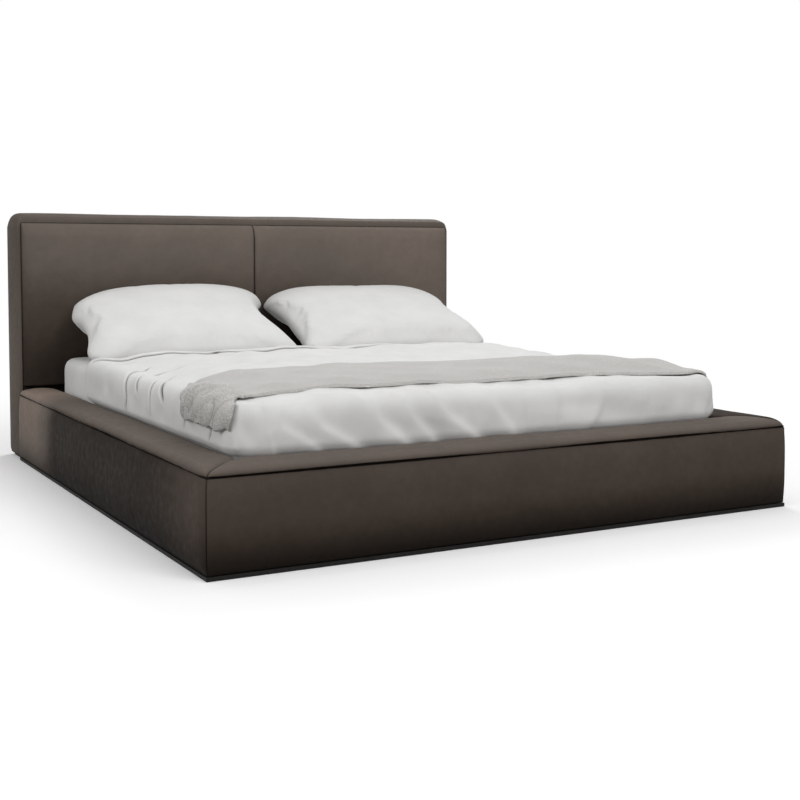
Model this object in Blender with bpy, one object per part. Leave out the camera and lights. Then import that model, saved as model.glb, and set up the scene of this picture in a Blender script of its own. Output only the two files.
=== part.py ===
"""Upholstered bed: padded headboard, wide padded rails, slatted base, mattress and bedding.

Metres, +Z up. X runs across the bed, -Y is the foot, +Y the head. The origin is on the floor,
at the middle of the bed's length and width.
"""

import math

import bmesh
import bpy
from mathutils import Matrix, Vector

# The whole bed
bed_width = 2.000
bed_length = 2.332
headboard_height = 0.985
gap = 0.0003
overrun = 0.004

# Rails: a timber channel under a foam and leather cover
rail_width = 0.145
rail_height = 0.293
rail_seam_height = 0.262
rail_seam_depth = 0.004
rail_seam_half_width = 0.003
rail_crown = 0.012
rail_top_crown = 0.005
rail_outer_radius = 0.022
rail_inner_radius = 0.018
rail_end_fade = 0.045
rail_mitre_drop = 0.004
rail_head_drop = 0.016
rail_head_round = 0.080
foam_outer = 0.026
foam_inner = 0.010
foam_top = 0.026
cover_bottom = 0.0145
channel_board = 0.018
wrap_above_slats = 0.006
rail_face_shares = (0.0, 0.03, 0.09, 0.22, 0.5, 0.78, 0.91, 0.97, 1.0)
rail_top_shares = (0.3, 0.7)
rail_middle_shares = (0.25, 0.5, 0.75)
rail_roll_share = 0.5

# Base strip under the rails and the headboard
plinth_height = 0.012
plinth_inset = 0.009
plinth_width = 0.100
plinth_chamfer = 0.002

# Headboard
headboard_depth = 0.185
headboard_inset = 0.005
border_edge_thickness = 0.010
border_side_crown = 0.010
border_top_crown = 0.030
border_corner_radius = 0.020
border_edge_round = 0.012
pad_crown = 0.050
pad_seat = 0.012
pad_edge_round = 0.060
pad_bottom_round = 0.035
pad_seam_round = 0.035
pad_seam_depth = 0.014
pad_bottom_above_rail = 0.012
front_board_thickness = 0.012
timber_thickness = 0.022
bottom_board_height = 0.20
back_cover_thickness = 0.004
back_cover_chamfer = 0.001
border_side_shares = (0.0, 0.08, 0.3, 0.6, 0.85)
border_over_shares = (0.12, 0.5, 0.88)
border_depth_shares = (0.3, 0.5, 0.7)
border_edge_share = 0.45

# Slatted base
slat_top = 0.170
slat_thickness = 0.018
slat_width = 0.080
slat_count = 13
slat_end_clearance = 0.003
slat_chamfer = 0.002
first_slat_distance = 0.045
ledger_width = 0.030
ledger_height = 0.035
ledger_end_clearance = 0.004
beam_width = 0.050
beam_height = 0.060
beam_end_clearance = 0.002
timber_chamfer = 0.0015
leg_radius = 0.020
leg_top_radius = 0.028
leg_flare_height = 0.012
leg_count = 2
glide_radius = 0.026
glide_height = 0.008
glide_round = 0.002

# Steel brackets and bolts
bracket_thickness = 0.003
bracket_leg = 0.050
corner_bracket_bottom = 0.022
corner_bracket_height = 0.085
beam_bracket_leg = 0.045
beam_bracket_drop = 0.012
bolt_radius = 0.004
bolt_clearance = 0.0004
bolt_head_radius = 0.0075
bolt_head_height = 0.0055
bolt_end_length = 0.006
bolt_place_share = 0.6

# Mattress and fitted sheet
mattress_thickness = 0.2375
mattress_side_clearance = 0.035
mattress_foot_clearance = 0.023
mattress_head_clearance = 0.004
mattress_shift = -0.015
mattress_corner_radius = 0.070
mattress_edge_radius = 0.060
sheet_thickness = 0.0025
sheet_hem_height = 0.040
mattress_foot_round_share = 0.3

# Duvet
duvet_thickness = 0.013
duvet_fold_thickness = 0.024
duvet_fold_length = 0.24
duvet_head_distance = 0.555
duvet_edge_radius = 0.065
duvet_tuck_thickness = 0.008
duvet_side_swell = 0.012
duvet_foot_swell = 0.005
duvet_hem_above_slats = 0.035
duvet_top_loft = 0.020
duvet_loft_width = 0.16
duvet_bunch_height = 0.026
duvet_bunch_radius = 0.42
duvet_bunch_across_share = 0.72
duvet_bunch_along_share = 0.66
duvet_side_fold_depth = 0.007
duvet_side_fold_pitch = 0.17
duvet_foot_fold_depth = 0.008
duvet_foot_fold_pitch = 0.31
duvet_head_round = 0.012
duvet_top_steps = 7
duvet_drop_shares = (0.35, 0.7, 1.0)
duvet_length_shares = (0.08, 0.2, 0.35, 0.5, 0.65, 0.78, 0.88, 0.95)
duvet_head_lift_share = 0.5
duvet_fold_edge_share = 0.5
duvet_tuck_start_share = 0.1
duvet_foot_fold_start_share = 0.6

# Throw
throw_thickness = 0.006
throw_seat_clearance = 0.0035
throw_hang = 0.024
throw_hem_wave = 0.008
throw_hem_wave_pitch = 0.15
throw_fold_height = 0.006
throw_fold_pitch = 0.26
throw_fade_length = 0.10
throw_bunch_height = 0.018
throw_bunch_start_share = 0.5
throw_edge_share = 0.15
throw_hang_shares = (1.0, 0.66, 0.33)
throw_row_steps = 9

# Pillows
pillow_left_inset = 0.0125
pillow_right_overhang = 0.020
pillow_length = 0.585
pillow_thickness = 0.155
pillow_corner_round = 0.034
pillow_end_pull = 0.022
pillow_left_inner_pull = 0.048
pillow_right_inner_pull = 0.020
pillow_corner_droop = 0.050
pillow_seam_thickness = 0.006
pillow_tilt_left_degrees = 24.8
pillow_tilt_right_degrees = 22.8
pillow_spacing = 0.012
pillow_duvet_gap = 0.018
pillow_edge_lift = 0.014
pillow_back_clearance = 0.003
pillow_seat_clearance = 0.0006
pillow_steps_across = 14
pillow_steps_along = 12

# Places worked out from the sizes above
half_width = bed_width / 2
foot_y = -bed_length / 2
head_y = bed_length / 2
face_y = head_y - headboard_depth
core_top = rail_height - foam_top
core_inner_u = rail_width - foam_inner - gap
core_half_width = half_width - core_inner_u
core_foot_y = foot_y + core_inner_u
slat_bottom = slat_top - slat_thickness
beam_top = slat_bottom - gap
crown_y = face_y - pad_crown
mattress_head_y = crown_y - mattress_head_clearance
mattress_foot_y = foot_y + rail_width + mattress_foot_clearance
mattress_length = mattress_head_y - mattress_foot_y
mattress_width = bed_width - 2 * (rail_width + mattress_side_clearance)
mattress_bottom = slat_top + gap
mattress_top = mattress_bottom + mattress_thickness
sheet_top = mattress_top + gap + sheet_thickness
border_half_width = half_width - headboard_inset - border_edge_thickness - border_side_crown
border_top = headboard_height - border_edge_thickness - border_top_crown
headboard_bottom = plinth_height + gap
pad_bottom = rail_height + pad_bottom_above_rail
pad_back_y = face_y + pad_seat
board_back_y = pad_back_y + gap + front_board_thickness
timber_front_y = board_back_y + gap
timber_back_y = head_y - back_cover_thickness - gap
sheet_side = mattress_width / 2 + gap + sheet_thickness
sheet_foot_y = mattress_foot_y - gap - sheet_thickness
duvet_core_radius = duvet_edge_radius - duvet_thickness
duvet_core_half_width = sheet_side + gap - duvet_core_radius
duvet_core_foot_y = sheet_foot_y - gap + duvet_core_radius
duvet_core_z = sheet_top + gap - duvet_core_radius
duvet_head_y = mattress_head_y - duvet_head_distance
duvet_length_on_top = duvet_head_y - mattress_foot_y
duvet_hem_z = slat_top + duvet_hem_above_slats
pillow_width = (mattress_width - pillow_left_inset + pillow_right_overhang - pillow_spacing) / 2
pillow_left_x = mattress_shift - mattress_width / 2 + pillow_left_inset + pillow_width / 2
pillow_right_x = mattress_shift + mattress_width / 2 + pillow_right_overhang - pillow_width / 2


def material(name, color, roughness, metallic=0.0):
    """Return a Principled material, made once for each name."""
    found = bpy.data.materials.get(name)
    if found:
        return found
    made = bpy.data.materials.new(name)
    made.use_nodes = True
    shader = made.node_tree.nodes["Principled BSDF"]
    shader.inputs["Base Color"].default_value = (*color, 1.0)
    shader.inputs["Roughness"].default_value = roughness
    shader.inputs["Metallic"].default_value = metallic
    made.diffuse_color = (*color, 1.0)
    return made


def leather():
    return material("leather", (0.115, 0.096, 0.083), 0.62)


def back_fabric():
    return material("back_fabric", (0.045, 0.040, 0.037), 0.9)


def plinth_finish():
    return material("plinth_black", (0.025, 0.023, 0.022), 0.6)


def timber():
    return material("pine", (0.62, 0.44, 0.26), 0.7)


def steel():
    return material("zinc_steel", (0.55, 0.56, 0.57), 0.38, 1.0)


def glide_plastic():
    return material("glide_plastic", (0.03, 0.03, 0.03), 0.5)


def mattress_fabric():
    return material("mattress_ticking", (0.82, 0.81, 0.78), 0.9)


def sheet_cotton():
    return material("sheet_cotton", (0.74, 0.74, 0.73), 0.88)


def duvet_cotton():
    return material("duvet_cotton", (0.76, 0.76, 0.75), 0.88)


def throw_wool():
    return material("throw_wool", (0.44, 0.43, 0.415), 0.95)


def pillow_cotton():
    return material("pillow_cotton", (0.77, 0.77, 0.76), 0.88)


def add_object(name, mesh_data, finish, smooth_degrees=None):
    """Link a finished bmesh as an object, with its faces pointing out."""
    bmesh.ops.recalc_face_normals(mesh_data, faces=mesh_data.faces)
    mesh = bpy.data.meshes.new(name)
    mesh_data.to_mesh(mesh)
    mesh_data.free()
    mesh.materials.append(finish)
    if smooth_degrees is not None:
        mesh.shade_smooth()
        mesh.set_sharp_from_angle(angle=math.radians(smooth_degrees))
    made = bpy.data.objects.new(name, mesh)
    bpy.context.scene.collection.objects.link(made)
    return made


def loft(rings):
    """Skin a list of rings of equal length and cap the two ends."""
    work = bmesh.new()
    rows = [[work.verts.new(point) for point in ring] for ring in rings]
    count = len(rows[0])
    for lower, upper in zip(rows, rows[1:]):
        for index in range(count):
            after = (index + 1) % count
            work.faces.new((lower[index], lower[after], upper[after], upper[index]))
    work.faces.new(rows[0][::-1])
    work.faces.new(rows[-1])
    return work


def shell_from_grids(outer, inner):
    """Join two grids of points, the two faces of one thick sheet, along all four edges."""
    work = bmesh.new()
    top = [[work.verts.new(point) for point in row] for row in outer]
    under = [[work.verts.new(point) for point in row] for row in inner]
    for grid in (top, under):
        for low, high in zip(grid, grid[1:]):
            for index in range(len(low) - 1):
                work.faces.new((low[index], low[index + 1], high[index + 1], high[index]))
    loops = []
    for grid in (top, under):
        rim = list(grid[0])
        rim += [row[-1] for row in grid[1:]]
        rim += grid[-1][-2::-1]
        rim += [row[0] for row in grid[-2:0:-1]]
        loops.append(rim)
    for index in range(len(loops[0])):
        after = (index + 1) % len(loops[0])
        work.faces.new((loops[0][index], loops[0][after], loops[1][after], loops[1][index]))
    return work


def chamfered_rectangle(low, high, chamfer):
    """Return the eight corners of a rectangle whose corners are cut off."""
    (x0, y0), (x1, y1) = low, high
    return [
        (x0 + chamfer, y0), (x1 - chamfer, y0), (x1, y0 + chamfer), (x1, y1 - chamfer),
        (x1 - chamfer, y1), (x0 + chamfer, y1), (x0, y1 - chamfer), (x0, y0 + chamfer),
    ]


def bar(name, low, high, axis, chamfer, finish):
    """A straight bar between two corners, its long edges chamfered, running along one axis."""
    across = [index for index in range(3) if index != axis]
    outline = chamfered_rectangle(
        (low[across[0]], low[across[1]]), (high[across[0]], high[across[1]]), chamfer
    )
    rings = []
    for place in (low[axis], high[axis]):
        ring = []
        for first, second in outline:
            point = [0.0, 0.0, 0.0]
            point[axis] = place
            point[across[0]] = first
            point[across[1]] = second
            ring.append(point)
        rings.append(ring)
    return add_object(name, loft(rings), finish)


def quarter_shares(steps):
    """Shares of a radius, from 0 to 1, spread evenly round a quarter circle."""
    return [1.0 - math.cos(math.pi / 2 * step / steps) for step in range(steps + 1)]


def rounded(share):
    """Height share of a quarter-round edge at a share of its width; 1 past the edge."""
    if share >= 1.0:
        return 1.0
    return math.sqrt(max(0.0, 1.0 - (1.0 - max(0.0, share)) ** 2))


def smooth_step(share):
    """Ease from 0 to 1."""
    share = min(1.0, max(0.0, share))
    return share * share * (3.0 - 2.0 * share)


def rail_outline(fade, drop):
    """Outer outline of a rail cover, as pairs of inward distance and height, bottom to inner wrap.

    The fade runs from 0 at the end of the rail, where the padding is drawn in, to 1. The drop
    lowers the top there.
    """
    outline = []
    face_top = rail_seam_height - rail_seam_half_width
    for share in rail_face_shares:
        swell = (1.0 - abs(2.0 * share - 1.0) ** 4) * fade
        outline.append((rail_crown * (1.0 - swell), cover_bottom + share * (face_top - cover_bottom)))
    outline.append((rail_crown + rail_seam_depth, rail_seam_height))
    top_edge = rail_height - rail_top_crown - drop
    roll_bottom = rail_seam_height + rail_seam_half_width
    roll_width = rail_outer_radius
    roll_height = top_edge - roll_bottom
    roll_start = rail_crown * (1.0 - rail_roll_share * fade)
    for step in range(5):
        angle = math.pi / 2 * step / 4
        outline.append((
            roll_start + roll_width * (1.0 - math.cos(angle)),
            roll_bottom + roll_height * math.sin(angle),
        ))
    flat_start = roll_start + roll_width
    flat_end = rail_width - rail_inner_radius
    for share in rail_top_shares:
        rise = rail_top_crown * (1.0 - (2.0 * share - 1.0) ** 2)
        outline.append((flat_start + share * (flat_end - flat_start), top_edge + rise))
    for step in range(4):
        angle = math.pi / 2 * step / 3
        outline.append((
            flat_end + rail_inner_radius * math.sin(angle),
            top_edge - rail_inner_radius * (1.0 - math.cos(angle)),
        ))
    return outline


def rail_cover_profile(fade, drop):
    """Closed outline of the padded cover round its channel core."""
    inner = rail_width - foam_inner
    wrap = slat_top + wrap_above_slats
    return rail_outline(fade, drop) + [
        (rail_width, wrap),
        (inner, wrap),
        (inner, core_top + gap),
        (foam_outer, core_top + gap),
        (foam_outer, cover_bottom),
    ]


def rail_core_profile():
    """Closed outline of the timber channel, open at the bottom."""
    outer = foam_outer + gap
    inner = core_inner_u
    bottom = plinth_height + gap
    return [
        (outer, bottom), (outer, core_top), (inner, core_top), (inner, bottom),
        (inner - channel_board, bottom), (inner - channel_board, core_top - channel_board),
        (outer + channel_board, core_top - channel_board), (outer + channel_board, bottom),
    ]


def plinth_profile():
    """Closed outline of the base strip, its lower edges chamfered."""
    inner = plinth_inset + plinth_width
    return [
        (plinth_inset, plinth_height), (inner, plinth_height), (inner, plinth_chamfer),
        (inner - plinth_chamfer, 0.0), (plinth_inset + plinth_chamfer, 0.0),
        (plinth_inset, plinth_chamfer),
    ]


def end_distances(length, far_fade):
    """Distances along a rail where its section changes, closer together at its drawn-in ends."""
    places = [rail_end_fade * share for share in quarter_shares(4)]
    places += [length * share for share in rail_middle_shares]
    places += [length - far_fade * share for share in reversed(quarter_shares(5))]
    return places


def side_rail_rings(profile_at, side):
    """Rings of a side rail, from its mitre at the foot to the headboard."""
    length = face_y - gap - foot_y
    rings = []
    for place in end_distances(length, rail_head_round):
        fade = rounded(min(place, length - place) / rail_end_fade)
        drop = rail_mitre_drop * (1.0 - rounded(place / rail_end_fade))
        drop += rail_head_drop * (1.0 - rounded((length - place) / rail_head_round))
        ring = []
        for inward, height in profile_at(fade, drop):
            start = foot_y + inward + gap
            end = face_y - gap
            along = start + (end - start) * place / length
            ring.append((side * (half_width - inward), along, height))
        rings.append(ring)
    return rings


def foot_rail_rings(profile_at):
    """Rings of the foot rail, between its two mitres."""
    length = bed_width
    rings = []
    for place in end_distances(length, rail_end_fade):
        fade = rounded(min(place, length - place) / rail_end_fade)
        ring = []
        for inward, height in profile_at(fade, rail_mitre_drop * (1.0 - fade)):
            reach = half_width - inward - gap
            along = reach * (2.0 * place / length - 1.0)
            ring.append((along, foot_y + inward, height))
        rings.append(ring)
    return rings


def add_rails():
    """Cover, channel core and base strip of the three rails."""
    parts = (
        ("cover", rail_cover_profile, leather(), 40),
        ("core", lambda fade, drop: rail_core_profile(), timber(), None),
        ("plinth", lambda fade, drop: plinth_profile(), plinth_finish(), None),
    )
    for label, profile_at, finish, smooth in parts:
        for side_name, side in (("left", -1), ("right", 1)):
            rings = side_rail_rings(profile_at, side)
            if label != "cover":
                rings = [rings[0], rings[-1]]
            add_object(f"side_rail_{side_name}_{label}", loft(rings), finish, smooth)
        rings = foot_rail_rings(profile_at)
        if label != "cover":
            rings = [rings[0], rings[-1]]
        add_object(f"foot_rail_{label}", loft(rings), finish, smooth)


def border_path():
    """Stations of the border along the headboard's edge: inner point, outer point and angle.

    The inner points follow the square corner of the timbers, the outer ones a round corner.
    """
    radius = border_corner_radius
    reach = border_half_width - radius
    height = border_top - radius
    stations = []
    side_span = height - headboard_bottom
    for share in border_side_shares:
        point = (-border_half_width, headboard_bottom + side_span * share)
        stations.append((point, point, 180.0))
    corner_steps = 6
    for step in range(corner_steps + 1):
        angle = 180.0 - 90.0 * step / corner_steps
        turn = math.radians(angle)
        outer = (-reach + radius * math.cos(turn), height + radius * math.sin(turn))
        upward = min(1.0, 2.0 * step / corner_steps)
        across = max(0.0, 2.0 * step / corner_steps - 1.0)
        inner = (-border_half_width + radius * across, height + radius * upward)
        stations.append((inner, outer, angle))
    left = list(stations)
    for share in border_over_shares:
        point = (-reach + 2.0 * reach * share, border_top)
        stations.append((point, point, 90.0))
    for inner, outer, angle in reversed(left):
        stations.append(((-inner[0], inner[1]), (-outer[0], outer[1]), 180.0 - angle))
    return stations


def border_crown_at(angle, height):
    """Swell of the border at a direction round the headboard: the top swells most."""
    share = smooth_step(math.sin(math.radians(angle))) ** 3
    lift = smooth_step((height - headboard_bottom) / border_corner_radius)
    return lift * (border_side_crown + share * (border_top_crown - border_side_crown))


def add_border():
    """Leather strip over the top and the two sides of the headboard."""
    depth = headboard_depth
    cross = [border_edge_round * share for share in quarter_shares(3)]
    cross += [depth * share for share in border_depth_shares]
    cross += [depth - border_edge_round * share for share in reversed(quarter_shares(3))]
    rings = []
    for inner, outer, angle in border_path():
        x, z = outer
        crown = border_crown_at(angle, z)
        turn = math.radians(angle)
        ring = [(inner[0], face_y, inner[1])]
        for place in cross:
            edge = rounded(min(place, depth - place) / border_edge_round)
            bow = 1.0 - (2.0 * place / depth - 1.0) ** 2
            out = border_edge_thickness + crown * (border_edge_share * edge + (1.0 - border_edge_share) * bow)
            ring.append((x + out * math.cos(turn), face_y + place, z + out * math.sin(turn)))
        ring.append((inner[0], head_y, inner[1]))
        rings.append(ring)
    add_object("headboard_border", loft(rings), leather(), 40)


def pad_places(low, high, low_round, high_round, middle_steps):
    """Places across a pad, close together over its rounded edges."""
    places = [low + low_round * share for share in quarter_shares(4)]
    start = low + low_round
    end = high - high_round
    places += [start + (end - start) * step / middle_steps for step in range(1, middle_steps)]
    places += [high - high_round * share for share in reversed(quarter_shares(4))]
    return places


def pad_depth(distance_side, distance_seam, distance_top, distance_bottom):
    """How far the pad's front stands ahead of the seam plane at a place on it."""
    side = rounded(distance_side / pad_edge_round)
    top = rounded(distance_top / pad_edge_round)
    bottom = rounded(distance_bottom / pad_bottom_round)
    seam = pad_seam_depth * (1.0 - rounded(distance_seam / pad_seam_round))
    return (pad_crown - seam * top) * side * top * bottom


def add_pad(name, side):
    """One of the two crowned front pads, closed by a flat back."""
    outer = border_half_width - gap
    seam = gap
    top = border_top - gap
    across = pad_places(seam, outer, pad_seam_round, pad_edge_round, 4)
    up = pad_places(pad_bottom, top, pad_bottom_round, pad_edge_round, 4)
    front = []
    back = []
    for height in up:
        front_row = []
        back_row = []
        for place in across:
            depth = pad_depth(outer - place, place - seam, top - height, height - pad_bottom)
            front_row.append((side * place, face_y - depth, height))
            back_row.append((side * place, pad_back_y, height))
        front.append(front_row)
        back.append(back_row)
    work = shell_from_grids(front, back)
    flat = [face for face in work.faces if all(abs(v.co.y - pad_back_y) < gap / 2 for v in face.verts)]
    bmesh.ops.dissolve_faces(work, faces=flat)
    add_object(name, work, leather(), 40)


def add_headboard():
    """Timbers, boards, pads, border and covers of the headboard."""
    inner = border_half_width - gap
    top = border_top - gap
    add_border()
    add_pad("headboard_pad_left", -1)
    add_pad("headboard_pad_right", 1)
    bar(
        "headboard_lower_cover", (-inner, face_y, headboard_bottom),
        (inner, pad_back_y, pad_bottom - gap), 0, timber_chamfer, leather(),
    )
    bar(
        "headboard_front_board", (-inner, pad_back_y + gap, headboard_bottom),
        (inner, board_back_y, top), 0, timber_chamfer, timber(),
    )
    side_inner = inner - timber_thickness
    for side_name, side in (("left", -1), ("right", 1)):
        low_x, high_x = sorted((side * side_inner, side * inner))
        bar(
            f"headboard_side_board_{side_name}", (low_x, timber_front_y, headboard_bottom),
            (high_x, timber_back_y, top), 2, timber_chamfer, timber(),
        )
    reach = side_inner - gap
    bar(
        "headboard_top_board", (-reach, timber_front_y, top - timber_thickness),
        (reach, timber_back_y, top), 0, timber_chamfer, timber(),
    )
    bar(
        "headboard_bottom_board", (-reach, timber_back_y - timber_thickness, headboard_bottom),
        (reach, timber_back_y, headboard_bottom + bottom_board_height), 0, timber_chamfer, timber(),
    )
    bar(
        "headboard_back_cover", (-inner, timber_back_y + gap, headboard_bottom),
        (inner, head_y, top), 0, back_cover_chamfer, back_fabric(),
    )
    bar(
        "headboard_plinth", (-inner, face_y + plinth_inset, 0.0),
        (inner, head_y - plinth_inset, plinth_height), 0, plinth_chamfer, plinth_finish(),
    )


def add_slatted_base():
    """Ledgers, centre beam with its brackets and legs, and the slats."""
    ledger_x = core_half_width - gap
    low_y = core_foot_y + ledger_end_clearance
    high_y = face_y - ledger_end_clearance
    for side_name, side in (("left", -1), ("right", 1)):
        low_x, high_x = sorted((side * (ledger_x - ledger_width), side * ledger_x))
        bar(
            f"ledger_{side_name}", (low_x, low_y, beam_top - ledger_height),
            (high_x, high_y, beam_top), 1, timber_chamfer, timber(),
        )
    beam_low_y = core_foot_y + gap + bracket_thickness + beam_end_clearance
    beam_high_y = face_y - gap - bracket_thickness - beam_end_clearance
    beam_bottom = beam_top - beam_height
    bar(
        "center_beam", (-beam_width / 2, beam_low_y, beam_bottom),
        (beam_width / 2, beam_high_y, beam_top), 1, timber_chamfer, timber(),
    )
    for end_name, wall_y, inward in (("foot", core_foot_y + gap, 1), ("head", face_y - gap, -1)):
        add_beam_bracket(end_name, wall_y, inward, beam_bottom - gap)
    for index in range(leg_count):
        leg_y = beam_low_y + (beam_high_y - beam_low_y) * (index + 1) / (leg_count + 1)
        add_leg(index + 1, leg_y, beam_bottom - gap)
    slat_reach = core_half_width - slat_end_clearance
    first_y = mattress_foot_y + first_slat_distance
    last_y = mattress_head_y - first_slat_distance
    for index in range(slat_count):
        slat_y = first_y + (last_y - first_y) * index / (slat_count - 1)
        bar(
            f"slat_{index + 1:02d}", (-slat_reach, slat_y - slat_width / 2, slat_bottom),
            (slat_reach, slat_y + slat_width / 2, slat_top), 0, slat_chamfer, timber(),
        )


def add_beam_bracket(end_name, wall_y, inward, shelf_top):
    """Angle bracket: one leg on the wall under the slats, one under the beam's end."""
    far = inward * beam_bracket_leg
    thick = inward * bracket_thickness
    low = shelf_top - beam_bracket_drop - bracket_thickness
    high = beam_top - beam_bracket_drop
    outline = [
        (wall_y, low), (wall_y + thick, low), (wall_y + thick, shelf_top - bracket_thickness),
        (wall_y + far, shelf_top - bracket_thickness), (wall_y + far, shelf_top),
        (wall_y + thick, shelf_top), (wall_y + thick, high), (wall_y, high),
    ]
    rings = [[(x, y, z) for y, z in outline] for x in (-beam_width / 2, beam_width / 2)]
    add_object(f"beam_bracket_{end_name}", loft(rings), steel())


def turned(name, centre, outline, sides, finish):
    """A round piece turned about an upright axis, from pairs of radius and height."""
    rings = []
    for radius, height in outline:
        ring = []
        for index in range(sides):
            turn = 2.0 * math.pi * index / sides
            ring.append((
                centre[0] + radius * math.cos(turn), centre[1] + radius * math.sin(turn), height,
            ))
        rings.append(ring)
    return add_object(name, loft(rings), finish, 40)


def add_leg(number, leg_y, leg_top):
    """A round centre leg with a flared top, standing in a glide."""
    turned(
        f"center_leg_{number}", (0.0, leg_y),
        [
            (leg_radius, glide_height + gap), (leg_radius, leg_top - leg_flare_height),
            (leg_top_radius, leg_top - leg_flare_height / 3), (leg_top_radius, leg_top),
        ],
        16, timber(),
    )
    turned(
        f"center_leg_glide_{number}", (0.0, leg_y),
        [
            (glide_radius - glide_round, 0.0), (glide_radius, glide_round),
            (glide_radius, glide_height - glide_round), (glide_radius - glide_round, glide_height),
        ],
        16, glide_plastic(),
    )


def corner_places():
    """The four inner corners of the bed: name, side, wall that runs across, and inward sign."""
    return (
        ("foot_left", -1, core_foot_y + gap, 1), ("foot_right", 1, core_foot_y + gap, 1),
        ("head_left", -1, face_y - gap, -1), ("head_right", 1, face_y - gap, -1),
    )


def add_corner_bracket(name, side, wall_y, inward):
    """Steel angle in an inner corner, one leg on the side rail and one on the wall across."""
    wall_x = side * (core_half_width - gap)
    leg_x = -side * bracket_leg
    thick_x = -side * bracket_thickness
    leg_y = inward * bracket_leg
    thick_y = inward * bracket_thickness
    outline = [
        (wall_x, wall_y), (wall_x + leg_x, wall_y), (wall_x + leg_x, wall_y + thick_y),
        (wall_x + thick_x, wall_y + thick_y), (wall_x + thick_x, wall_y + leg_y),
        (wall_x, wall_y + leg_y),
    ]
    heights = (corner_bracket_bottom, corner_bracket_bottom + corner_bracket_height)
    rings = [[(x, y, z) for x, y in outline] for z in heights]
    return add_object(f"corner_bracket_{name}", loft(rings), steel())


def bolt_ring(radius, height, corners):
    """Ring of twelve points: a circle, or a hexagon with a point midway along each side."""
    ring = []
    for index in range(12):
        turn = math.pi / 6 * index
        reach = radius
        if corners and index % 2:
            reach = radius * math.cos(math.pi / 6)
        ring.append(Vector((reach * math.cos(turn), reach * math.sin(turn), height)))
    return ring


def placed_rings(rings, start, direction):
    """Turn rings made along +Z to run along a direction from a start point."""
    turn = Vector((0.0, 0.0, 1.0)).rotation_difference(direction).to_matrix().to_4x4()
    place = Matrix.Translation(start) @ turn
    return [[place @ point for point in ring] for ring in rings]


def corner_bolts():
    """Every corner bolt: name, point under its head, direction and depth of what it holds."""
    middle = corner_bracket_bottom + corner_bracket_height / 2
    reach = bracket_leg * bolt_place_share
    headboard_depth_held = pad_seat + front_board_thickness + gap
    bolts = []
    for name, side, wall_y, inward in corner_places():
        face_x = side * (core_half_width - gap - bracket_thickness)
        start = Vector((face_x, wall_y + inward * reach, middle))
        bolts.append((f"corner_bolt_{name}_side", start, Vector((side, 0.0, 0.0)), channel_board))
        held = channel_board if inward > 0 else headboard_depth_held
        start_x = side * (core_half_width - gap - reach)
        start = Vector((start_x, wall_y + inward * bracket_thickness, middle))
        bolts.append((f"corner_bolt_{name}_across", start, Vector((0.0, -inward, 0.0)), held))
    return bolts


def add_bolts(pierced):
    """Hexagon bolts through the brackets, and the holes that they pass through."""
    holes = bmesh.new()
    for name, start, direction, held in corner_bolts():
        length = bracket_thickness + gap + held + bolt_end_length
        under_head = -gap
        rings = [
            bolt_ring(bolt_head_radius, under_head - bolt_head_height, True),
            bolt_ring(bolt_head_radius, under_head, True),
            bolt_ring(bolt_radius, under_head, False),
            bolt_ring(bolt_radius, length, False),
        ]
        add_object(name, loft(placed_rings(rings, start, direction)), steel(), 30)
        hole_radius = bolt_radius + bolt_clearance
        cut = [
            bolt_ring(hole_radius, -overrun, False),
            bolt_ring(hole_radius, length - bolt_end_length + overrun, False),
        ]
        part_cut = loft(placed_rings(cut, start, direction))
        spare = bpy.data.meshes.new("bolt_hole")
        part_cut.to_mesh(spare)
        part_cut.free()
        holes.from_mesh(spare)
        bpy.data.meshes.remove(spare)
    cutter = add_object("bolt_holes", holes, steel())
    cutter.hide_render = True
    cutter.display_type = "WIRE"
    for target in pierced:
        cut = bpy.data.objects[target].modifiers.new("bolt_holes", "BOOLEAN")
        cut.operation = "DIFFERENCE"
        cut.solver = "EXACT"
        cut.object = cutter


def rounded_rectangle(half_x, half_y, centre, radius, steps):
    """Points round a rectangle with rounded corners, from the corner at +X +Y."""
    points = []
    for quarter, (sign_x, sign_y) in enumerate(((1, 1), (-1, 1), (-1, -1), (1, -1))):
        for step in range(steps + 1):
            turn = math.pi / 2 * (quarter + step / steps)
            points.append((
                centre[0] + sign_x * (half_x - radius) + radius * math.cos(turn),
                centre[1] + sign_y * (half_y - radius) + radius * math.sin(turn),
            ))
    return points


def mattress_ring(inset, height):
    """Ring round the mattress, drawn in by an inset."""
    centre = (mattress_shift, (mattress_foot_y + mattress_head_y) / 2)
    outline = rounded_rectangle(
        mattress_width / 2 - inset, mattress_length / 2 - inset, centre,
        mattress_corner_radius - inset, 4,
    )
    return [(x, y, height) for x, y in outline]


def mattress_edge(radius, top, outset):
    """Inset and height of the rings over the mattress's rounded top edge, going up."""
    edge = []
    for step in range(5):
        angle = math.pi / 2 * step / 4
        edge.append((
            radius * (1.0 - math.cos(angle)) - outset, top - radius * (1.0 - math.sin(angle)),
        ))
    return edge


def add_mattress():
    """Foam mattress with rounded edges."""
    foot_radius = mattress_edge_radius / 2
    corner = foot_radius * mattress_foot_round_share
    lower = [
        (foot_radius, mattress_bottom), (corner, mattress_bottom + corner),
        (0.0, mattress_bottom + foot_radius),
    ]
    places = lower + mattress_edge(mattress_edge_radius, mattress_top, 0.0)
    rings = [mattress_ring(inset, height) for inset, height in places]
    add_object("mattress", loft(rings), mattress_fabric(), 40)


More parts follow.
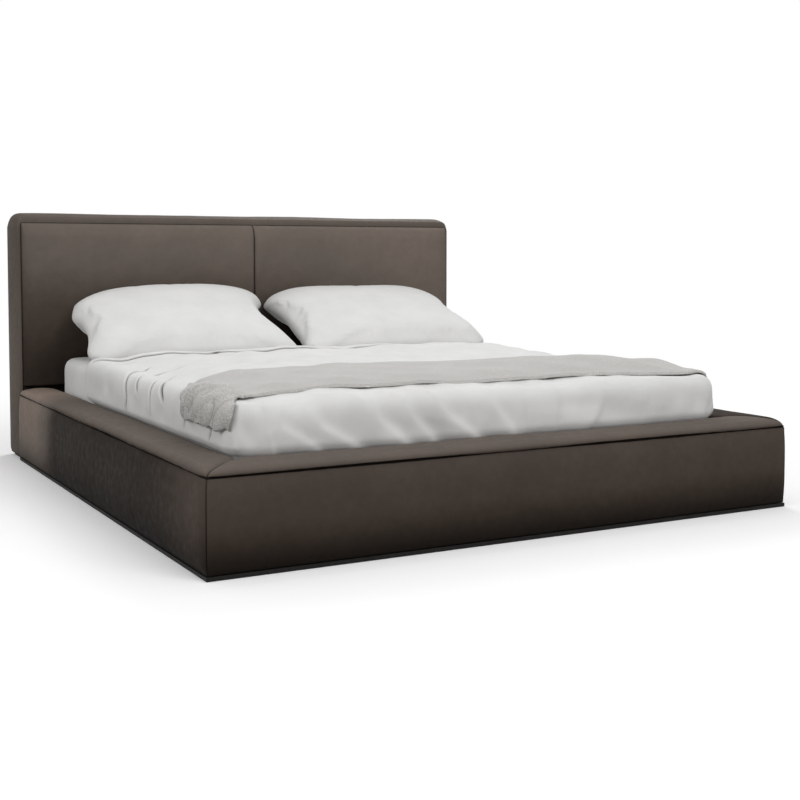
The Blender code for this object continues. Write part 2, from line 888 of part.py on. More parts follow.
def add_fitted_sheet():
    """Thin sheet over the mattress's top and sides, open underneath."""
    hem = mattress_bottom + sheet_hem_height
    outer_set = gap + sheet_thickness
    outer = [(-outer_set, hem)]
    outer += mattress_edge(mattress_edge_radius + outer_set, sheet_top, outer_set)
    inner = [(-gap, hem)]
    inner += mattress_edge(mattress_edge_radius + gap, mattress_top + gap, gap)
    places = inner[::-1] + outer
    rings = [mattress_ring(inset, height) for inset, height in places]
    add_object("fitted_sheet", loft(rings), sheet_cotton(), 40)


def cover_point(across, along, lift):
    """Point on the bedding's shape for a place on the flat cloth, lifted off the inner surface.

    The cloth lies on the mattress, turns over its rounded edges and drops down the sides and
    the foot. Round a foot corner the drop turns from the side's direction to the foot's.
    """
    over_side = max(0.0, abs(across) - duvet_core_half_width)
    over_foot = max(0.0, duvet_core_foot_y - along)
    side = 1.0 if across > 0.0 else -1.0
    base_x = max(-duvet_core_half_width, min(duvet_core_half_width, across))
    base_y = max(duvet_core_foot_y, along)
    over = max(over_side, over_foot)
    if over <= 0.0:
        return Vector((mattress_shift + base_x, base_y, duvet_core_z + duvet_core_radius + lift))
    if over_foot >= over_side:
        turn = math.pi / 2 - math.pi / 4 * over_side / over_foot
    else:
        turn = math.pi / 4 * over_foot / over_side
    radius = duvet_core_radius + lift
    arc = duvet_core_radius * math.pi / 2
    bend = math.pi / 2 * min(1.0, over / arc)
    out = radius * math.sin(bend)
    height = duvet_core_z + radius * math.cos(bend) - max(0.0, over - arc)
    return Vector((
        mattress_shift + base_x + side * out * math.cos(turn), base_y - out * math.sin(turn), height,
    ))


def over_edge(across, along):
    """How far a place on the flat cloth lies over the side's edge and over the foot's edge."""
    over_side = max(0.0, abs(across) - duvet_core_half_width)
    over_foot = max(0.0, duvet_core_foot_y - along)
    return over_side, over_foot


def duvet_lift(across, along):
    """Height of the duvet's outer face over its inner face at a place on the flat cloth."""
    over_side, over_foot = over_edge(across, along)
    arc = duvet_core_radius * math.pi / 2
    from_edge = min(duvet_core_half_width - abs(across), along - duvet_core_foot_y)
    lift = duvet_thickness + duvet_top_loft * smooth_step(from_edge / duvet_loft_width)
    bunch_x = duvet_core_half_width * duvet_bunch_across_share
    bunch_y = duvet_core_foot_y + duvet_length_on_top * duvet_bunch_along_share
    from_bunch = math.hypot(across - bunch_x, along - bunch_y) / duvet_bunch_radius
    lift += duvet_bunch_height * smooth_step(1.0 - from_bunch)
    on_fold = 1.0 - smooth_step((duvet_head_y - along) / duvet_fold_length - duvet_fold_edge_share)
    lift += (duvet_fold_thickness - duvet_thickness) * on_fold * smooth_step(1.0 - over_side / arc)
    over_rail = duvet_core_z - rail_height
    low_share = smooth_step((max(over_side, over_foot) - arc) / over_rail - duvet_tuck_start_share)
    lift -= (duvet_thickness - duvet_tuck_thickness) * low_share
    side_share = smooth_step(over_side / arc) * (1.0 - low_share)
    foot_share = smooth_step(over_foot / arc) * (1.0 - low_share)
    if over_side >= over_foot:
        lift += duvet_side_swell * side_share
        clear = smooth_step((along - throw_rear_at(-1.0)) / throw_fade_length)
        wave = math.cos(2.0 * math.pi * along / duvet_side_fold_pitch)
        lift += duvet_side_fold_depth * side_share * clear * wave
    else:
        lift += duvet_foot_swell * foot_share
        slanted = across + over_foot
        wave = math.cos(2.0 * math.pi * slanted / duvet_foot_fold_pitch)
        begun = smooth_step(over_foot / arc - duvet_foot_fold_start_share)
        lift += duvet_foot_fold_depth * foot_share * wave * begun
    return lift


def cover_places(core, arc, drop, middle_steps):
    """Flat distances across or along the duvet, closer together over its rounded edges."""
    edge = [core + arc * step / 4 for step in range(1, 5)]
    hang = [core + arc + drop * share for share in duvet_drop_shares]
    outward = [core * step / middle_steps for step in range(1, middle_steps + 1)] + edge + hang
    return [-place for place in reversed(outward)] + [0.0] + outward


def add_duvet():
    """Duvet over the mattress, tucked in at the sides and the foot, its head edge folded."""
    arc = duvet_core_radius * math.pi / 2
    drop = duvet_core_z - duvet_hem_z
    across = cover_places(duvet_core_half_width, arc, drop, duvet_top_steps)
    top_length = duvet_head_y - duvet_core_foot_y
    along = [duvet_core_foot_y - arc - drop * share for share in reversed(duvet_drop_shares)]
    along += [duvet_core_foot_y - arc * step / 4 for step in (4, 3, 2, 1, 0)]
    flat_length = top_length - duvet_head_round
    along += [duvet_core_foot_y + flat_length * share for share in duvet_length_shares]
    along += [duvet_head_y - duvet_head_round, duvet_head_y]
    outer = []
    inner = []
    for y in along:
        outer_row = []
        inner_row = []
        for x in across:
            lift = duvet_lift(x, y)
            if y >= duvet_head_y:
                lift = lift * duvet_head_lift_share
            outer_row.append(cover_point(x, y, lift))
            inner_row.append(cover_point(x, y, 0.0))
        outer.append(outer_row)
        inner.append(inner_row)
    add_object("duvet", shell_from_grids(outer, inner), duvet_cotton(), 60)


# Edges of the throw, from its hanging left end to its right end, as shares of the duvet's length
throw_rear_shares = (0.27, 0.36, 0.40, 0.42, 0.475, 0.46, 0.44, 0.43, 0.41, 0.40, 0.40, 0.42)
throw_front_shares = (0.020, 0.055, 0.085, 0.070, 0.085, 0.075, 0.075, 0.078, 0.080, 0.070, 0.050, 0.030)


def share_at(shares, place):
    """Read a list of shares, with eased steps between them, at a place from -1 to 1."""
    position = min(1.0, max(0.0, (place + 1.0) / 2.0)) * (len(shares) - 1)
    index = min(int(position), len(shares) - 2)
    return shares[index] + (shares[index + 1] - shares[index]) * smooth_step(position - index)


def throw_rear_at(place):
    """Place along the bed of the throw's rear edge."""
    return mattress_foot_y + duvet_length_on_top * share_at(throw_rear_shares, place)


def throw_front_at(place):
    """Place along the bed of the throw's front edge."""
    return mattress_foot_y + duvet_length_on_top * share_at(throw_front_shares, place)


def throw_row(across, row_share, lift):
    """Point on the throw for a place across the bed and a share from its front to its rear."""
    place = across / duvet_core_half_width
    front = max(throw_front_at(place), duvet_core_foot_y - duvet_core_radius)
    along = front + (throw_rear_at(place) - front) * row_share
    over_side, _over_foot = over_edge(across, along)
    fold = math.sin(2.0 * math.pi * (across + along) / throw_fold_pitch)
    fold = throw_fold_height * (0.5 + 0.5 * fold) * smooth_step(row_share / throw_edge_share)
    fold *= smooth_step((1.0 - row_share) / throw_edge_share)
    bunch = smooth_step(place / throw_bunch_start_share) * math.sin(math.pi * row_share) ** 2
    total = duvet_lift(across, along) + throw_seat_clearance + fold + lift
    total += throw_bunch_height * bunch
    if over_side > 0.0:
        wave = math.cos(2.0 * math.pi * along / throw_hem_wave_pitch)
        arc = duvet_core_radius * math.pi / 2
        beyond = max(0.0, over_side - arc) / throw_hang
        across = across + throw_hem_wave * wave * beyond
    return cover_point(across, along, total)


def add_throw():
    """Knitted throw across the foot end, its left end hanging down the side."""
    arc = duvet_core_radius * math.pi / 2
    left = duvet_core_half_width
    places = [-(left + arc + throw_hang * share) for share in throw_hang_shares]
    places += [-(left + arc * step / 4) for step in (4, 3, 2, 1, 0)]
    steps = 2 * duvet_top_steps
    places += [left * (step - steps) / steps for step in range(1, 2 * steps + 1)]
    places += [left + arc / 4]
    row_shares = [step / throw_row_steps for step in range(throw_row_steps + 1)]
    outer = [[throw_row(x, share, throw_thickness) for share in row_shares] for x in places]
    inner = [[throw_row(x, share, 0.0) for share in row_shares] for x in places]
    add_object("throw", shell_from_grids(outer, inner), throw_wool(), 60)


def pillow_swell(across, along):
    """Half thickness of a pillow at shares from -1 to 1 across and along it."""
    side = (1.0 - across ** 4) ** 0.5
    end = (1.0 - abs(along) ** 3) ** 0.5
    return pillow_seam_thickness / 2 + (pillow_thickness - pillow_seam_thickness) / 2 * side * end


def pillow_point(centre_x, tilt, pulls, across, along, face):
    """Point on a pillow that leans back on the headboard, face 1 above and -1 below."""
    pull = pulls[0] + (pulls[1] - pulls[0]) * (across + 1.0) / 2.0
    half_x = pillow_width / 2 - pull * (1.0 - along ** 2) - pillow_corner_round * along ** 14
    half_y = pillow_length / 2 - pillow_end_pull * (1.0 - across ** 2)
    half_y -= pillow_corner_round * across ** 14
    forward = pillow_length / 2 + half_y * along
    out = face * pillow_swell(across, along)
    x = centre_x + half_x * across
    start_y = duvet_head_y + pillow_duvet_gap
    y = start_y + forward * math.cos(tilt) - out * math.sin(tilt)
    z = sheet_top + pillow_edge_lift + forward * math.sin(tilt) + out * math.cos(tilt)
    z -= pillow_corner_droop * abs(across) ** 5 * max(0.0, along) ** 2
    y = min(y, crown_y - pillow_back_clearance)
    z = max(z, sheet_top + pillow_seat_clearance)
    return (x, y, z)


def crowded_shares(steps):
    """Places from -1 to 1 that crowd towards both ends."""
    return [math.sin(math.pi / 2 * (2.0 * step / steps - 1.0)) for step in range(steps + 1)]


def add_pillow(name, centre_x, tilt_degrees, pulls):
    """One pillow, flat where it rests on the sheet and where it leans on the headboard."""
    tilt = math.radians(tilt_degrees)
    shares_x = crowded_shares(pillow_steps_across)
    shares_y = crowded_shares(pillow_steps_along)
    faces = []
    for face in (1, -1):
        faces.append([[pillow_point(centre_x, tilt, pulls, x, y, face) for x in shares_x] for y in shares_y])
    add_object(name, shell_from_grids(faces[0], faces[1]), pillow_cotton(), 60)


def build():
    """Clear the scene and make every piece of the bed."""
    for existing in list(bpy.data.objects):
        bpy.data.objects.remove(existing, do_unlink=True)
    add_rails()
    add_headboard()
    add_slatted_base()
    pierced = ["side_rail_left_core", "side_rail_right_core", "foot_rail_core"]
    pierced += ["headboard_lower_cover", "headboard_front_board"]
    for name, side, wall_y, inward in corner_places():
        add_corner_bracket(name, side, wall_y, inward)
        pierced.append(f"corner_bracket_{name}")
    add_bolts(pierced)
    add_mattress()
    add_fitted_sheet()
    add_duvet()
    add_throw()
    add_pillow("pillow_left", pillow_left_x, pillow_tilt_left_degrees, (0.0, pillow_left_inner_pull))
    add_pillow("pillow_right", pillow_right_x, pillow_tilt_right_degrees, (pillow_right_inner_pull, 0.0))


build()
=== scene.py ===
"""Looks of the upholstered bed: leather, timber, bedding, floor, light and camera.

Metres, +Z up. X runs across the bed, -Y is the foot, +Y the head.
"""

import math

import bmesh
import bpy
import numpy as np
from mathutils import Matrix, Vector


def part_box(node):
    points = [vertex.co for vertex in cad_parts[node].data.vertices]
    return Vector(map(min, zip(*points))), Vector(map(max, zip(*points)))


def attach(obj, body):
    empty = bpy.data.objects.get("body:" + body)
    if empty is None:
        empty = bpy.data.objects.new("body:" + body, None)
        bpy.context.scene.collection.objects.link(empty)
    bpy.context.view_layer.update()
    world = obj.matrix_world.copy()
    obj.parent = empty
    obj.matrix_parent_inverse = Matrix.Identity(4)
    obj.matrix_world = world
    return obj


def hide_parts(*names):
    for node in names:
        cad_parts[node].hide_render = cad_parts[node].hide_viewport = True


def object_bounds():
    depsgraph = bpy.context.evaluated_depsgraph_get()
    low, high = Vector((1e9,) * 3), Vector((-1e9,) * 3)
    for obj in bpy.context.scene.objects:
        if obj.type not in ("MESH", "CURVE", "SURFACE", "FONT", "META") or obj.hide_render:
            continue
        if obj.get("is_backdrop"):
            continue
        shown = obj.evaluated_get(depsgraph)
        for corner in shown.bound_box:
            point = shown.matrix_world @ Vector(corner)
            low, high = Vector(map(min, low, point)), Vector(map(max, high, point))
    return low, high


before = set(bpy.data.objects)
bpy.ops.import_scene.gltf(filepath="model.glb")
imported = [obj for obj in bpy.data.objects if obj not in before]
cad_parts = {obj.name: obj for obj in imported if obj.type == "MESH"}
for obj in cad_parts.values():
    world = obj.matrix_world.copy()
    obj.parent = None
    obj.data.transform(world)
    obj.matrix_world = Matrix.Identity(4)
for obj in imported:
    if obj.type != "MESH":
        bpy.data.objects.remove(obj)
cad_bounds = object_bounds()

# Sizes of the bed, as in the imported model
bed_width = 2.000
bed_length = 2.332
headboard_height = 0.985
gap = 0.0003
rail_width = 0.145
rail_height = 0.293
rail_seam_height = 0.262
rail_seam_depth = 0.008
rail_seam_half_width = 0.004
rail_seam_shoulder = 0.0031
rail_crown = 0.012
rail_top_crown = 0.005
rail_outer_radius = 0.022
rail_inner_radius = 0.018
rail_end_fade = 0.060
rail_mitre_drop = 0.018
rail_head_drop = 0.016
rail_head_round = 0.080
rail_corner_inset = 0.006
rail_end_mark = 0.0016
cover_swell = 0.0008
cover_ripple = 0.00018
cover_gather = 0.00035
foam_outer = 0.026
foam_inner = 0.010
foam_top = 0.026
cover_bottom = 0.0145
wrap_height = 0.176
plinth_height = 0.012
headboard_depth = 0.185
headboard_inset = 0.005
border_edge_thickness = 0.010
border_side_crown = 0.010
border_top_crown = 0.030
border_corner_radius = 0.020
border_edge_round = 0.007
border_edge_share = 0.45
pad_crown = 0.050
pad_seat = 0.012
pad_edge_round = 0.060
pad_bottom_round = 0.006
pad_seam_round = 0.035
pad_seam_depth = 0.014
pad_bottom_above_rail = 0.003
pad_swell = 0.0016
pad_ripple = 0.0006
pad_gather = 0.0009
lower_cover_bow = 0.0006
lower_cover_step = 0.0022
lower_cover_bow_most = 0.0019
slat_top = 0.170
mattress_side_clearance = 0.035
mattress_foot_clearance = 0.023
mattress_head_clearance = 0.004
mattress_thickness = 0.2375
mattress_shift = -0.015
mattress_corner_radius = 0.070
mattress_edge_radius = 0.060
sheet_thickness = 0.0025
sheet_hem_height = 0.040
duvet_thickness = 0.013
duvet_fold_thickness = 0.024
duvet_fold_length = 0.24
duvet_head_distance = 0.555
duvet_edge_radius = 0.065
duvet_tuck_thickness = 0.008
duvet_tuck_fade = 0.042
duvet_corner_fill = 0.014
duvet_turn_width = 0.030
duvet_turn_height = 0.006
duvet_flap_reach = 0.045
duvet_side_swell = 0.012
duvet_foot_swell = 0.005
duvet_hem_above_slats = 0.035
duvet_top_loft = 0.020
duvet_loft_width = 0.16
duvet_bunch_height = 0.026
duvet_bunch_radius = 0.42
duvet_bunch_across_share = 0.72
duvet_bunch_along_share = 0.66
duvet_filling = 0.0030
duvet_ripple = 0.0012
throw_thickness = 0.009
throw_seat_clearance = 0.0015
throw_hang = 0.002
throw_hem_wave = 0.010
throw_hem_wave_pitch = 0.082
throw_fold_height = 0.006
throw_fold_pitch = 0.26
throw_bunch_height = 0.018
throw_crinkle = 0.0055
throw_crinkle_most = 0.012
sheet_edge_power = 3.4
sheet_crinkle = 0.0016
sheet_ripple = 0.0008
pillow_left_inset = 0.0125
pillow_right_overhang = 0.020
pillow_length = 0.585
pillow_thickness = 0.155
pillow_corner_round = 0.028
pillow_end_pull = 0.022
pillow_corner_droop = 0.034
pillow_top_droop = 0.016
pillow_seam_thickness = 0.006
pillow_spacing = 0.012
pillow_duvet_gap = 0.018
pillow_edge_lift = 0.014
pillow_corner_reach = 0.034
pillow_inner_reach = 0.024
pillow_outer_droop = 0.042
pillow_inner_droop = 0.012
pillow_outer_bulge = 0.027
pillow_back_clearance = 0.003
pillow_seat_clearance = 0.0006
pillow_voxel = 0.008
pillow_pressure = 3.0
pillow_slack = 0.020
pillow_swell_cap = 0.014
cloth_frames = 20

# Places worked out from them
half_width = bed_width / 2
foot_y = -bed_length / 2
head_y = bed_length / 2
face_y = head_y - headboard_depth
core_top = rail_height - foam_top
crown_y = face_y - pad_crown
mattress_head_y = crown_y - mattress_head_clearance
mattress_foot_y = foot_y + rail_width + mattress_foot_clearance
mattress_length = mattress_head_y - mattress_foot_y
mattress_width = bed_width - 2 * (rail_width + mattress_side_clearance)
mattress_centre_y = (mattress_foot_y + mattress_head_y) / 2
mattress_bottom = slat_top + gap
mattress_top = mattress_bottom + mattress_thickness
sheet_top = mattress_top + gap + sheet_thickness
border_half_width = half_width - headboard_inset - border_edge_thickness - border_side_crown
border_top = headboard_height - border_edge_thickness - border_top_crown
headboard_bottom = plinth_height + gap
pad_bottom = rail_height + pad_bottom_above_rail
pad_back_y = face_y + pad_seat
sheet_side = mattress_width / 2 + gap + sheet_thickness
sheet_foot_y = mattress_foot_y - gap - sheet_thickness
core_radius = duvet_edge_radius - duvet_thickness
core_half_width = sheet_side + gap - core_radius
core_foot_y = sheet_foot_y - gap + core_radius
core_z = sheet_top + gap - core_radius
core_arc = core_radius * math.pi / 2
duvet_head_y = mattress_head_y - duvet_head_distance
duvet_length_on_top = duvet_head_y - mattress_foot_y
duvet_hem_z = slat_top + duvet_hem_above_slats
rail_drop = core_z - rail_height
pillow_width = (mattress_width - pillow_left_inset + pillow_right_overhang - pillow_spacing) / 2


# Shapes

def soft_noise(x, y, z, pitch, seed, waves=14):
    """Smooth uneven field of about unit height, made of seeded plane waves."""
    source = np.random.default_rng(seed)
    total = np.zeros(np.broadcast(x, y, z).shape)
    for _ in range(waves):
        way = source.normal(size=3)
        way /= np.linalg.norm(way)
        rate = 2.0 * math.pi / pitch * source.uniform(0.6, 1.5)
        phase = source.uniform(0.0, 2.0 * math.pi)
        total += np.sin(rate * (x * way[0] + y * way[1] + z * way[2]) + phase)
    return total / math.sqrt(waves / 2)


def ease(share):
    """Ease from 0 to 1."""
    share = np.clip(share, 0.0, 1.0)
    return share * share * (3.0 - 2.0 * share)


def rounded(share):
    """Height share of a quarter-round edge at a share of its width; 1 past the edge."""
    share = np.clip(share, 0.0, 1.0)
    return np.sqrt(np.clip(1.0 - (1.0 - share) ** 2, 0.0, 1.0))


def grid_faces(rows, columns, start=0, wrap=False, flip=False):
    """Quads of a grid of vertices that are numbered row by row."""
    row = np.arange(rows - 1)[:, None]
    column = np.arange(columns if wrap else columns - 1)[None, :]
    after = (column + 1) % columns
    first = start + row * columns + column
    second = start + row * columns + after
    third = start + (row + 1) * columns + after
    fourth = start + (row + 1) * columns + column
    order = (first, fourth, third, second) if flip else (first, second, third, fourth)
    return np.stack(np.broadcast_arrays(*order), axis=-1).reshape(-1, 4).tolist()


def add_piece(name, points, faces, finish, body, seam=None, flat=None, painted_light=None):
    """Make a smooth mesh piece that rides on a body, with its painted shade marks, painted light and flat
    cut.
    """
    mesh = bpy.data.meshes.new(name)
    mesh.from_pydata(np.asarray(points).reshape(-1, 3).tolist(), [], faces)
    # Stored values: painted shade along seams, creases and gaps, and painted light and shade.
    for label, values in (("seam", seam), ("painted_light", painted_light)):
        if values is not None:
            marks = mesh.attributes.new(label, "FLOAT", "POINT")
            marks.data.foreach_set("value", np.asarray(values, dtype=np.float32).ravel())
    if flat is not None:
        layer = mesh.uv_layers.new(name="flat")
        corners = np.zeros(len(mesh.loops), dtype=np.int64)
        mesh.loops.foreach_get("vertex_index", corners)
        layer.data.foreach_set("uv", np.asarray(flat).reshape(-1, 2)[corners].ravel())
    mesh.materials.append(finish)
    mesh.shade_smooth()
    made = bpy.data.objects.new(name, mesh)
    bpy.context.scene.collection.objects.link(made)
    outward(made)
    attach(made, body)
    return made


def outward(piece):
    """Turn a closed mesh's faces outward."""
    work = bmesh.new()
    work.from_mesh(piece.data)
    bmesh.ops.recalc_face_normals(work, faces=work.faces)
    work.to_mesh(piece.data)
    work.free()


def tube_piece(name, rings, finish, body, seam=None, painted_light=None):
    """Closed tube from an array of rings, with its two ends capped."""
    rings = np.asarray(rings)
    count, around = rings.shape[:2]
    faces = grid_faces(count, around, wrap=True)
    faces.append(list(range(around))[::-1])
    faces.append([(count - 1) * around + index for index in range(around)])
    return add_piece(name, rings, faces, finish, body, seam, None, painted_light)


def stands_in(made, node):
    """Let a padded piece take the place of its CAD node."""
    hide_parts(node)
    return made


def closed_sheet(outer, inner):
    """Points and faces of a closed sheet from its outer and inner grids of points."""
    rows, columns = outer.shape[:2]
    size = rows * columns
    faces = grid_faces(rows, columns) + grid_faces(rows, columns, start=size, flip=True)
    edge = [(0, column) for column in range(columns)]
    edge += [(row, columns - 1) for row in range(1, rows)]
    edge += [(rows - 1, column) for column in range(columns - 2, -1, -1)]
    edge += [(row, 0) for row in range(rows - 2, 0, -1)]
    numbers = [row * columns + column for row, column in edge]
    for index, here in enumerate(numbers):
        after = numbers[(index + 1) % len(numbers)]
        faces.append([here, here + size, after + size, after])
    return np.concatenate([outer.reshape(-1, 3), inner.reshape(-1, 3)]), faces


def sheet_piece(name, outer, inner, finish, body, flat=None, seam=None, painted_light=None):
    """Closed sheet piece, with the values given for its grid on both of its faces."""
    points, faces = closed_sheet(outer, inner)
    if flat is not None:
        flat = np.tile(flat.reshape(-1, 2), (2, 1))
    seam, painted_light = (None if values is None else np.tile(np.ravel(values), 2) for values in (seam, painted_light))
    return add_piece(name, points, faces, finish, body, seam, flat, painted_light)


def evaluated_mesh(piece):
    """A piece's mesh with its modifiers applied; they are then taken off."""
    bpy.context.view_layer.update()
    made = bpy.data.meshes.new_from_object(piece.evaluated_get(bpy.context.evaluated_depsgraph_get()))
    piece.modifiers.clear()
    piece.data = made
    return made


def mesh_points(mesh):
    """A mesh's vertices as an array."""
    points = np.zeros(len(mesh.vertices) * 3)
    mesh.vertices.foreach_get("co", points)
    return points.reshape(-1, 3)


def smooth_once(piece):
    """Apply one level of subdivision to a piece."""
    levels = piece.modifiers.new("smooth", "SUBSURF")
    levels.levels = 1
    levels.render_levels = 1
    evaluated_mesh(piece).shade_smooth()


def puffed(points, faces):
    """Inflate a closed soft shape as cloth and return its new points and faces."""
    mesh = bpy.data.meshes.new("soft_start")
    mesh.from_pydata(np.asarray(points).reshape(-1, 3).tolist(), [], faces)
    work = bpy.data.objects.new("soft_start", mesh)
    scene = bpy.context.scene
    scene.collection.objects.link(work)
    outward(work)
    remesh = work.modifiers.new("remesh", "REMESH")
    remesh.mode = "VOXEL"
    remesh.voxel_size = pillow_voxel
    even = evaluated_mesh(work)
    start = mesh_points(even)
    cloth = work.modifiers.new("cloth", "CLOTH")
    settings = cloth.settings
    settings.quality = 6
    settings.mass = 0.3
    settings.tension_stiffness = 20.0
    settings.compression_stiffness = 20.0
    settings.shear_stiffness = 8.0
    settings.bending_stiffness = 0.4
    settings.shrink_min = -pillow_slack
    settings.use_pressure = True
    settings.uniform_pressure_force = pillow_pressure
    settings.effector_weights.gravity = 0.0
    cloth.collision_settings.use_collision = False
    cloth.collision_settings.use_self_collision = False
    for frame_number in range(1, cloth_frames + 1):
        scene.frame_set(frame_number)
    result = work.evaluated_get(bpy.context.evaluated_depsgraph_get()).to_mesh()
    move = mesh_points(result) - start
    scene.frame_set(1)
    size = np.linalg.norm(move, axis=1, keepdims=True)
    end = start + move * np.minimum(1.0, pillow_swell_cap / np.maximum(size, 1e-9))
    new_faces = [tuple(face.vertices) for face in even.polygons]
    bpy.data.objects.remove(work, do_unlink=True)
    return end, new_faces


# Materials

class Finish:
    """Nodes under construction, of a material or of the world, and the links between them."""

    def __init__(self, owner):
        owner.use_nodes = True
        self.owner = owner
        self.tree = owner.node_tree
        self.shader = self.tree.nodes.get("Principled BSDF")

    def feed(self, socket, value):
        """Set an input to a number or a colour, or join it to an output."""
        if isinstance(value, (int, float)):
            socket.default_value = value
        elif isinstance(value, tuple):
            socket.default_value = (*value, 1.0) if socket.type == "RGBA" else value
        elif value is not None:
            self.tree.links.new(value, socket)

    def node(self, kind, inputs=None, **values):
        """Add a node, set its properties and feed its inputs."""
        made = self.tree.nodes.new("ShaderNode" + kind)
        for key, value in values.items():
            setattr(made, key, value)
        for key, value in (inputs or {}).items():
            self.feed(made.inputs[key], value)
        return made

    def place(self, stretch=(1.0, 1.0, 1.0), flat=False):
        """Coordinates in metres, from the piece or from its flat cut, stretched by a factor."""
        if flat:
            source = self.node("UVMap", uv_map="flat").outputs["UV"]
        else:
            source = self.node("TexCoord").outputs["Object"]
        return self.node("Mapping", {"Vector": source, "Scale": stretch}).outputs["Vector"]

    def noise(self, place, scale, detail, roughness=0.6, distortion=0.0):
        """Noise with a mean of one half."""
        return self.node("TexNoise", {
            "Vector": place, "Scale": scale, "Detail": detail, "Roughness": roughness,
            "Distortion": distortion,
        }).outputs["Fac"]

    def cells(self, place, scale, feature):
        """Distance field of pebble-like cells."""
        made = self.node("TexVoronoi", feature=feature)
        self.feed(made.inputs["Vector"], place)
        self.feed(made.inputs["Scale"], scale)
        return made.outputs["Distance"]

    def bands(self, place, scale, direction, distortion):
        """Even bands, as threads lie side by side."""
        return self.node(
            "TexWave", {"Vector": place, "Scale": scale, "Distortion": distortion},
            wave_type="BANDS", bands_direction=direction,
        ).outputs["Fac"]

    def ramp(self, value, low=0.3, high=0.7, start=0.0, end=1.0):
        """Map a value's range onto another."""
        return self.node("MapRange", {
            "Value": value, "From Min": low, "From Max": high, "To Min": start, "To Max": end,
        }).outputs["Result"]

    def calc(self, operation, first, second):
        """One sum on two values, each a socket or a number."""
        return self.node("Math", {0: first, 1: second}, operation=operation).outputs["Value"]

    def mix(self, share, first, second):
        """Mix two colours, each a socket or three numbers."""
        made = self.node("Mix", {"Factor": share}, data_type="RGBA")
        colours = [socket for socket in made.inputs if socket.type == "RGBA"]
        for socket, value in zip(colours, (first, second)):
            self.feed(socket, value)
        return [socket for socket in made.outputs if socket.type == "RGBA"][0]

    def bump(self, height, strength, distance, before=None):
        """Bump from a height, over an earlier bump."""
        return self.node("Bump", {
            "Height": height, "Strength": strength, "Distance": distance, "Normal": before,
        }).outputs["Normal"]

    def attribute(self, name):
        """A value stored on the mesh."""
        return self.node("Attribute", attribute_name=name).outputs["Fac"]

    def with_painted_shade(self, colour, seam_colour):
        """A colour with painted shade along the piece's marks: seams, creases and gaps."""
        return self.mix(self.ramp(self.attribute("seam"), 0.0, 1.0, 0.0, 0.92), colour, seam_colour)

    def done(self, colour=None, roughness=None, normal=None, **fixed):
        """Join the results to the shader and set its even values."""
        results = {"Base Color": colour, "Roughness": roughness, "Normal": normal}
        for key, value in results.items():
            self.feed(self.shader.inputs[key], value)
        for key, value in fixed.items():
            self.feed(self.shader.inputs[key.replace("_", " ")], value)
        return self.owner


def new_finish(name):
    """Start a material."""
    return Finish(bpy.data.materials.new(name))


def leather_finish():
    """Matt dark taupe leather: cloudy colour, fine grain, light and shade painted in from a stored value,
    greyer where it is painted lightest, and painted shade in its seams.
    """
    made = new_finish("leather_matt")
    place = made.place()
    cloud = made.noise(place, 5.0, 5.0, 0.6, 0.4)
    patch = made.noise(place, 38.0, 4.0)
    speck = made.noise(place, 420.0, 2.0, 0.5)
    grain = made.cells(place, 620.0, "SMOOTH_F1")
    crease = made.noise(place, 55.0, 6.0, 0.7, 0.8)
    # Painted light and shade: a value stored on each piece scales the colour.
    painted_light = made.attribute("painted_light")
    colour = made.mix(made.ramp(cloud), (0.045, 0.034, 0.027), (0.058, 0.044, 0.035))
    colour = made.mix(made.ramp(patch, 0.35, 0.75, 0.0, 0.40), colour, (0.036, 0.027, 0.021))
    colour = made.mix(made.ramp(speck, 0.45, 0.8, 0.0, 0.14), colour, (0.085, 0.068, 0.056))
    painted_light_colour = made.node("VectorMath", {"Vector": colour, "Scale": painted_light}, operation="SCALE")
    # Painted sheen: where painted lightest the colour turns greyer.
    painted_sheen = made.ramp(painted_light, 1.0, 2.8, 0.0, 0.50)
    colour = made.mix(painted_sheen, painted_light_colour.outputs["Vector"], (0.122, 0.112, 0.104))
    normal = made.bump(grain, 0.16, 0.0004, made.bump(crease, 0.12, 0.0010))
    # Painted shade: near black along the seam marks.
    return made.done(
        made.with_painted_shade(colour, (0.006, 0.005, 0.004)), made.ramp(patch, 0.3, 0.7, 0.56, 0.72), normal,
        Specular_IOR_Level=0.045, Sheen_Weight=0.02, Sheen_Roughness=0.5, Sheen_Tint=(0.62, 0.50, 0.42),
    )


def weave_finish(name, dark, light, thread=380.0, rough=0.86, sheen=0.10, flat=True):
    """Plain-woven cloth: threads both ways, a little uneven in colour, with painted shade along its marked
    creases.
    """
    made = new_finish(name)
    place = made.place(flat=flat)
    solid = made.place()
    weave = made.calc("MAXIMUM", made.bands(place, thread, "X", 1.2), made.bands(place, thread, "Y", 1.2))
    uneven = made.noise(solid, 9.0, 4.0, 0.55)
    slub = made.noise(solid, 260.0, 3.0)
    rumple = made.noise(solid, 26.0, 5.0, 0.6, 0.6)
    colour = made.mix(made.ramp(uneven), dark, light)
    colour = made.mix(made.ramp(weave, 0.0, 1.0, 0.0, 0.06), colour, tuple(0.7 * v for v in dark))
    colour = made.mix(made.ramp(slub, 0.55, 0.8, 0.0, 0.10), colour, tuple(0.8 * v for v in dark))
    # Painted shade along the marked creases and gaps.
    return made.done(
        made.with_painted_shade(colour, (0.055, 0.052, 0.048)), made.ramp(slub, 0.3, 0.7, rough - 0.05, rough + 0.05),
        made.bump(weave, 0.35, 0.00025, made.bump(rumple, 0.35, 0.0018)),
        Specular_IOR_Level=0.25, Sheen_Weight=sheen, Sheen_Roughness=0.5,
    )


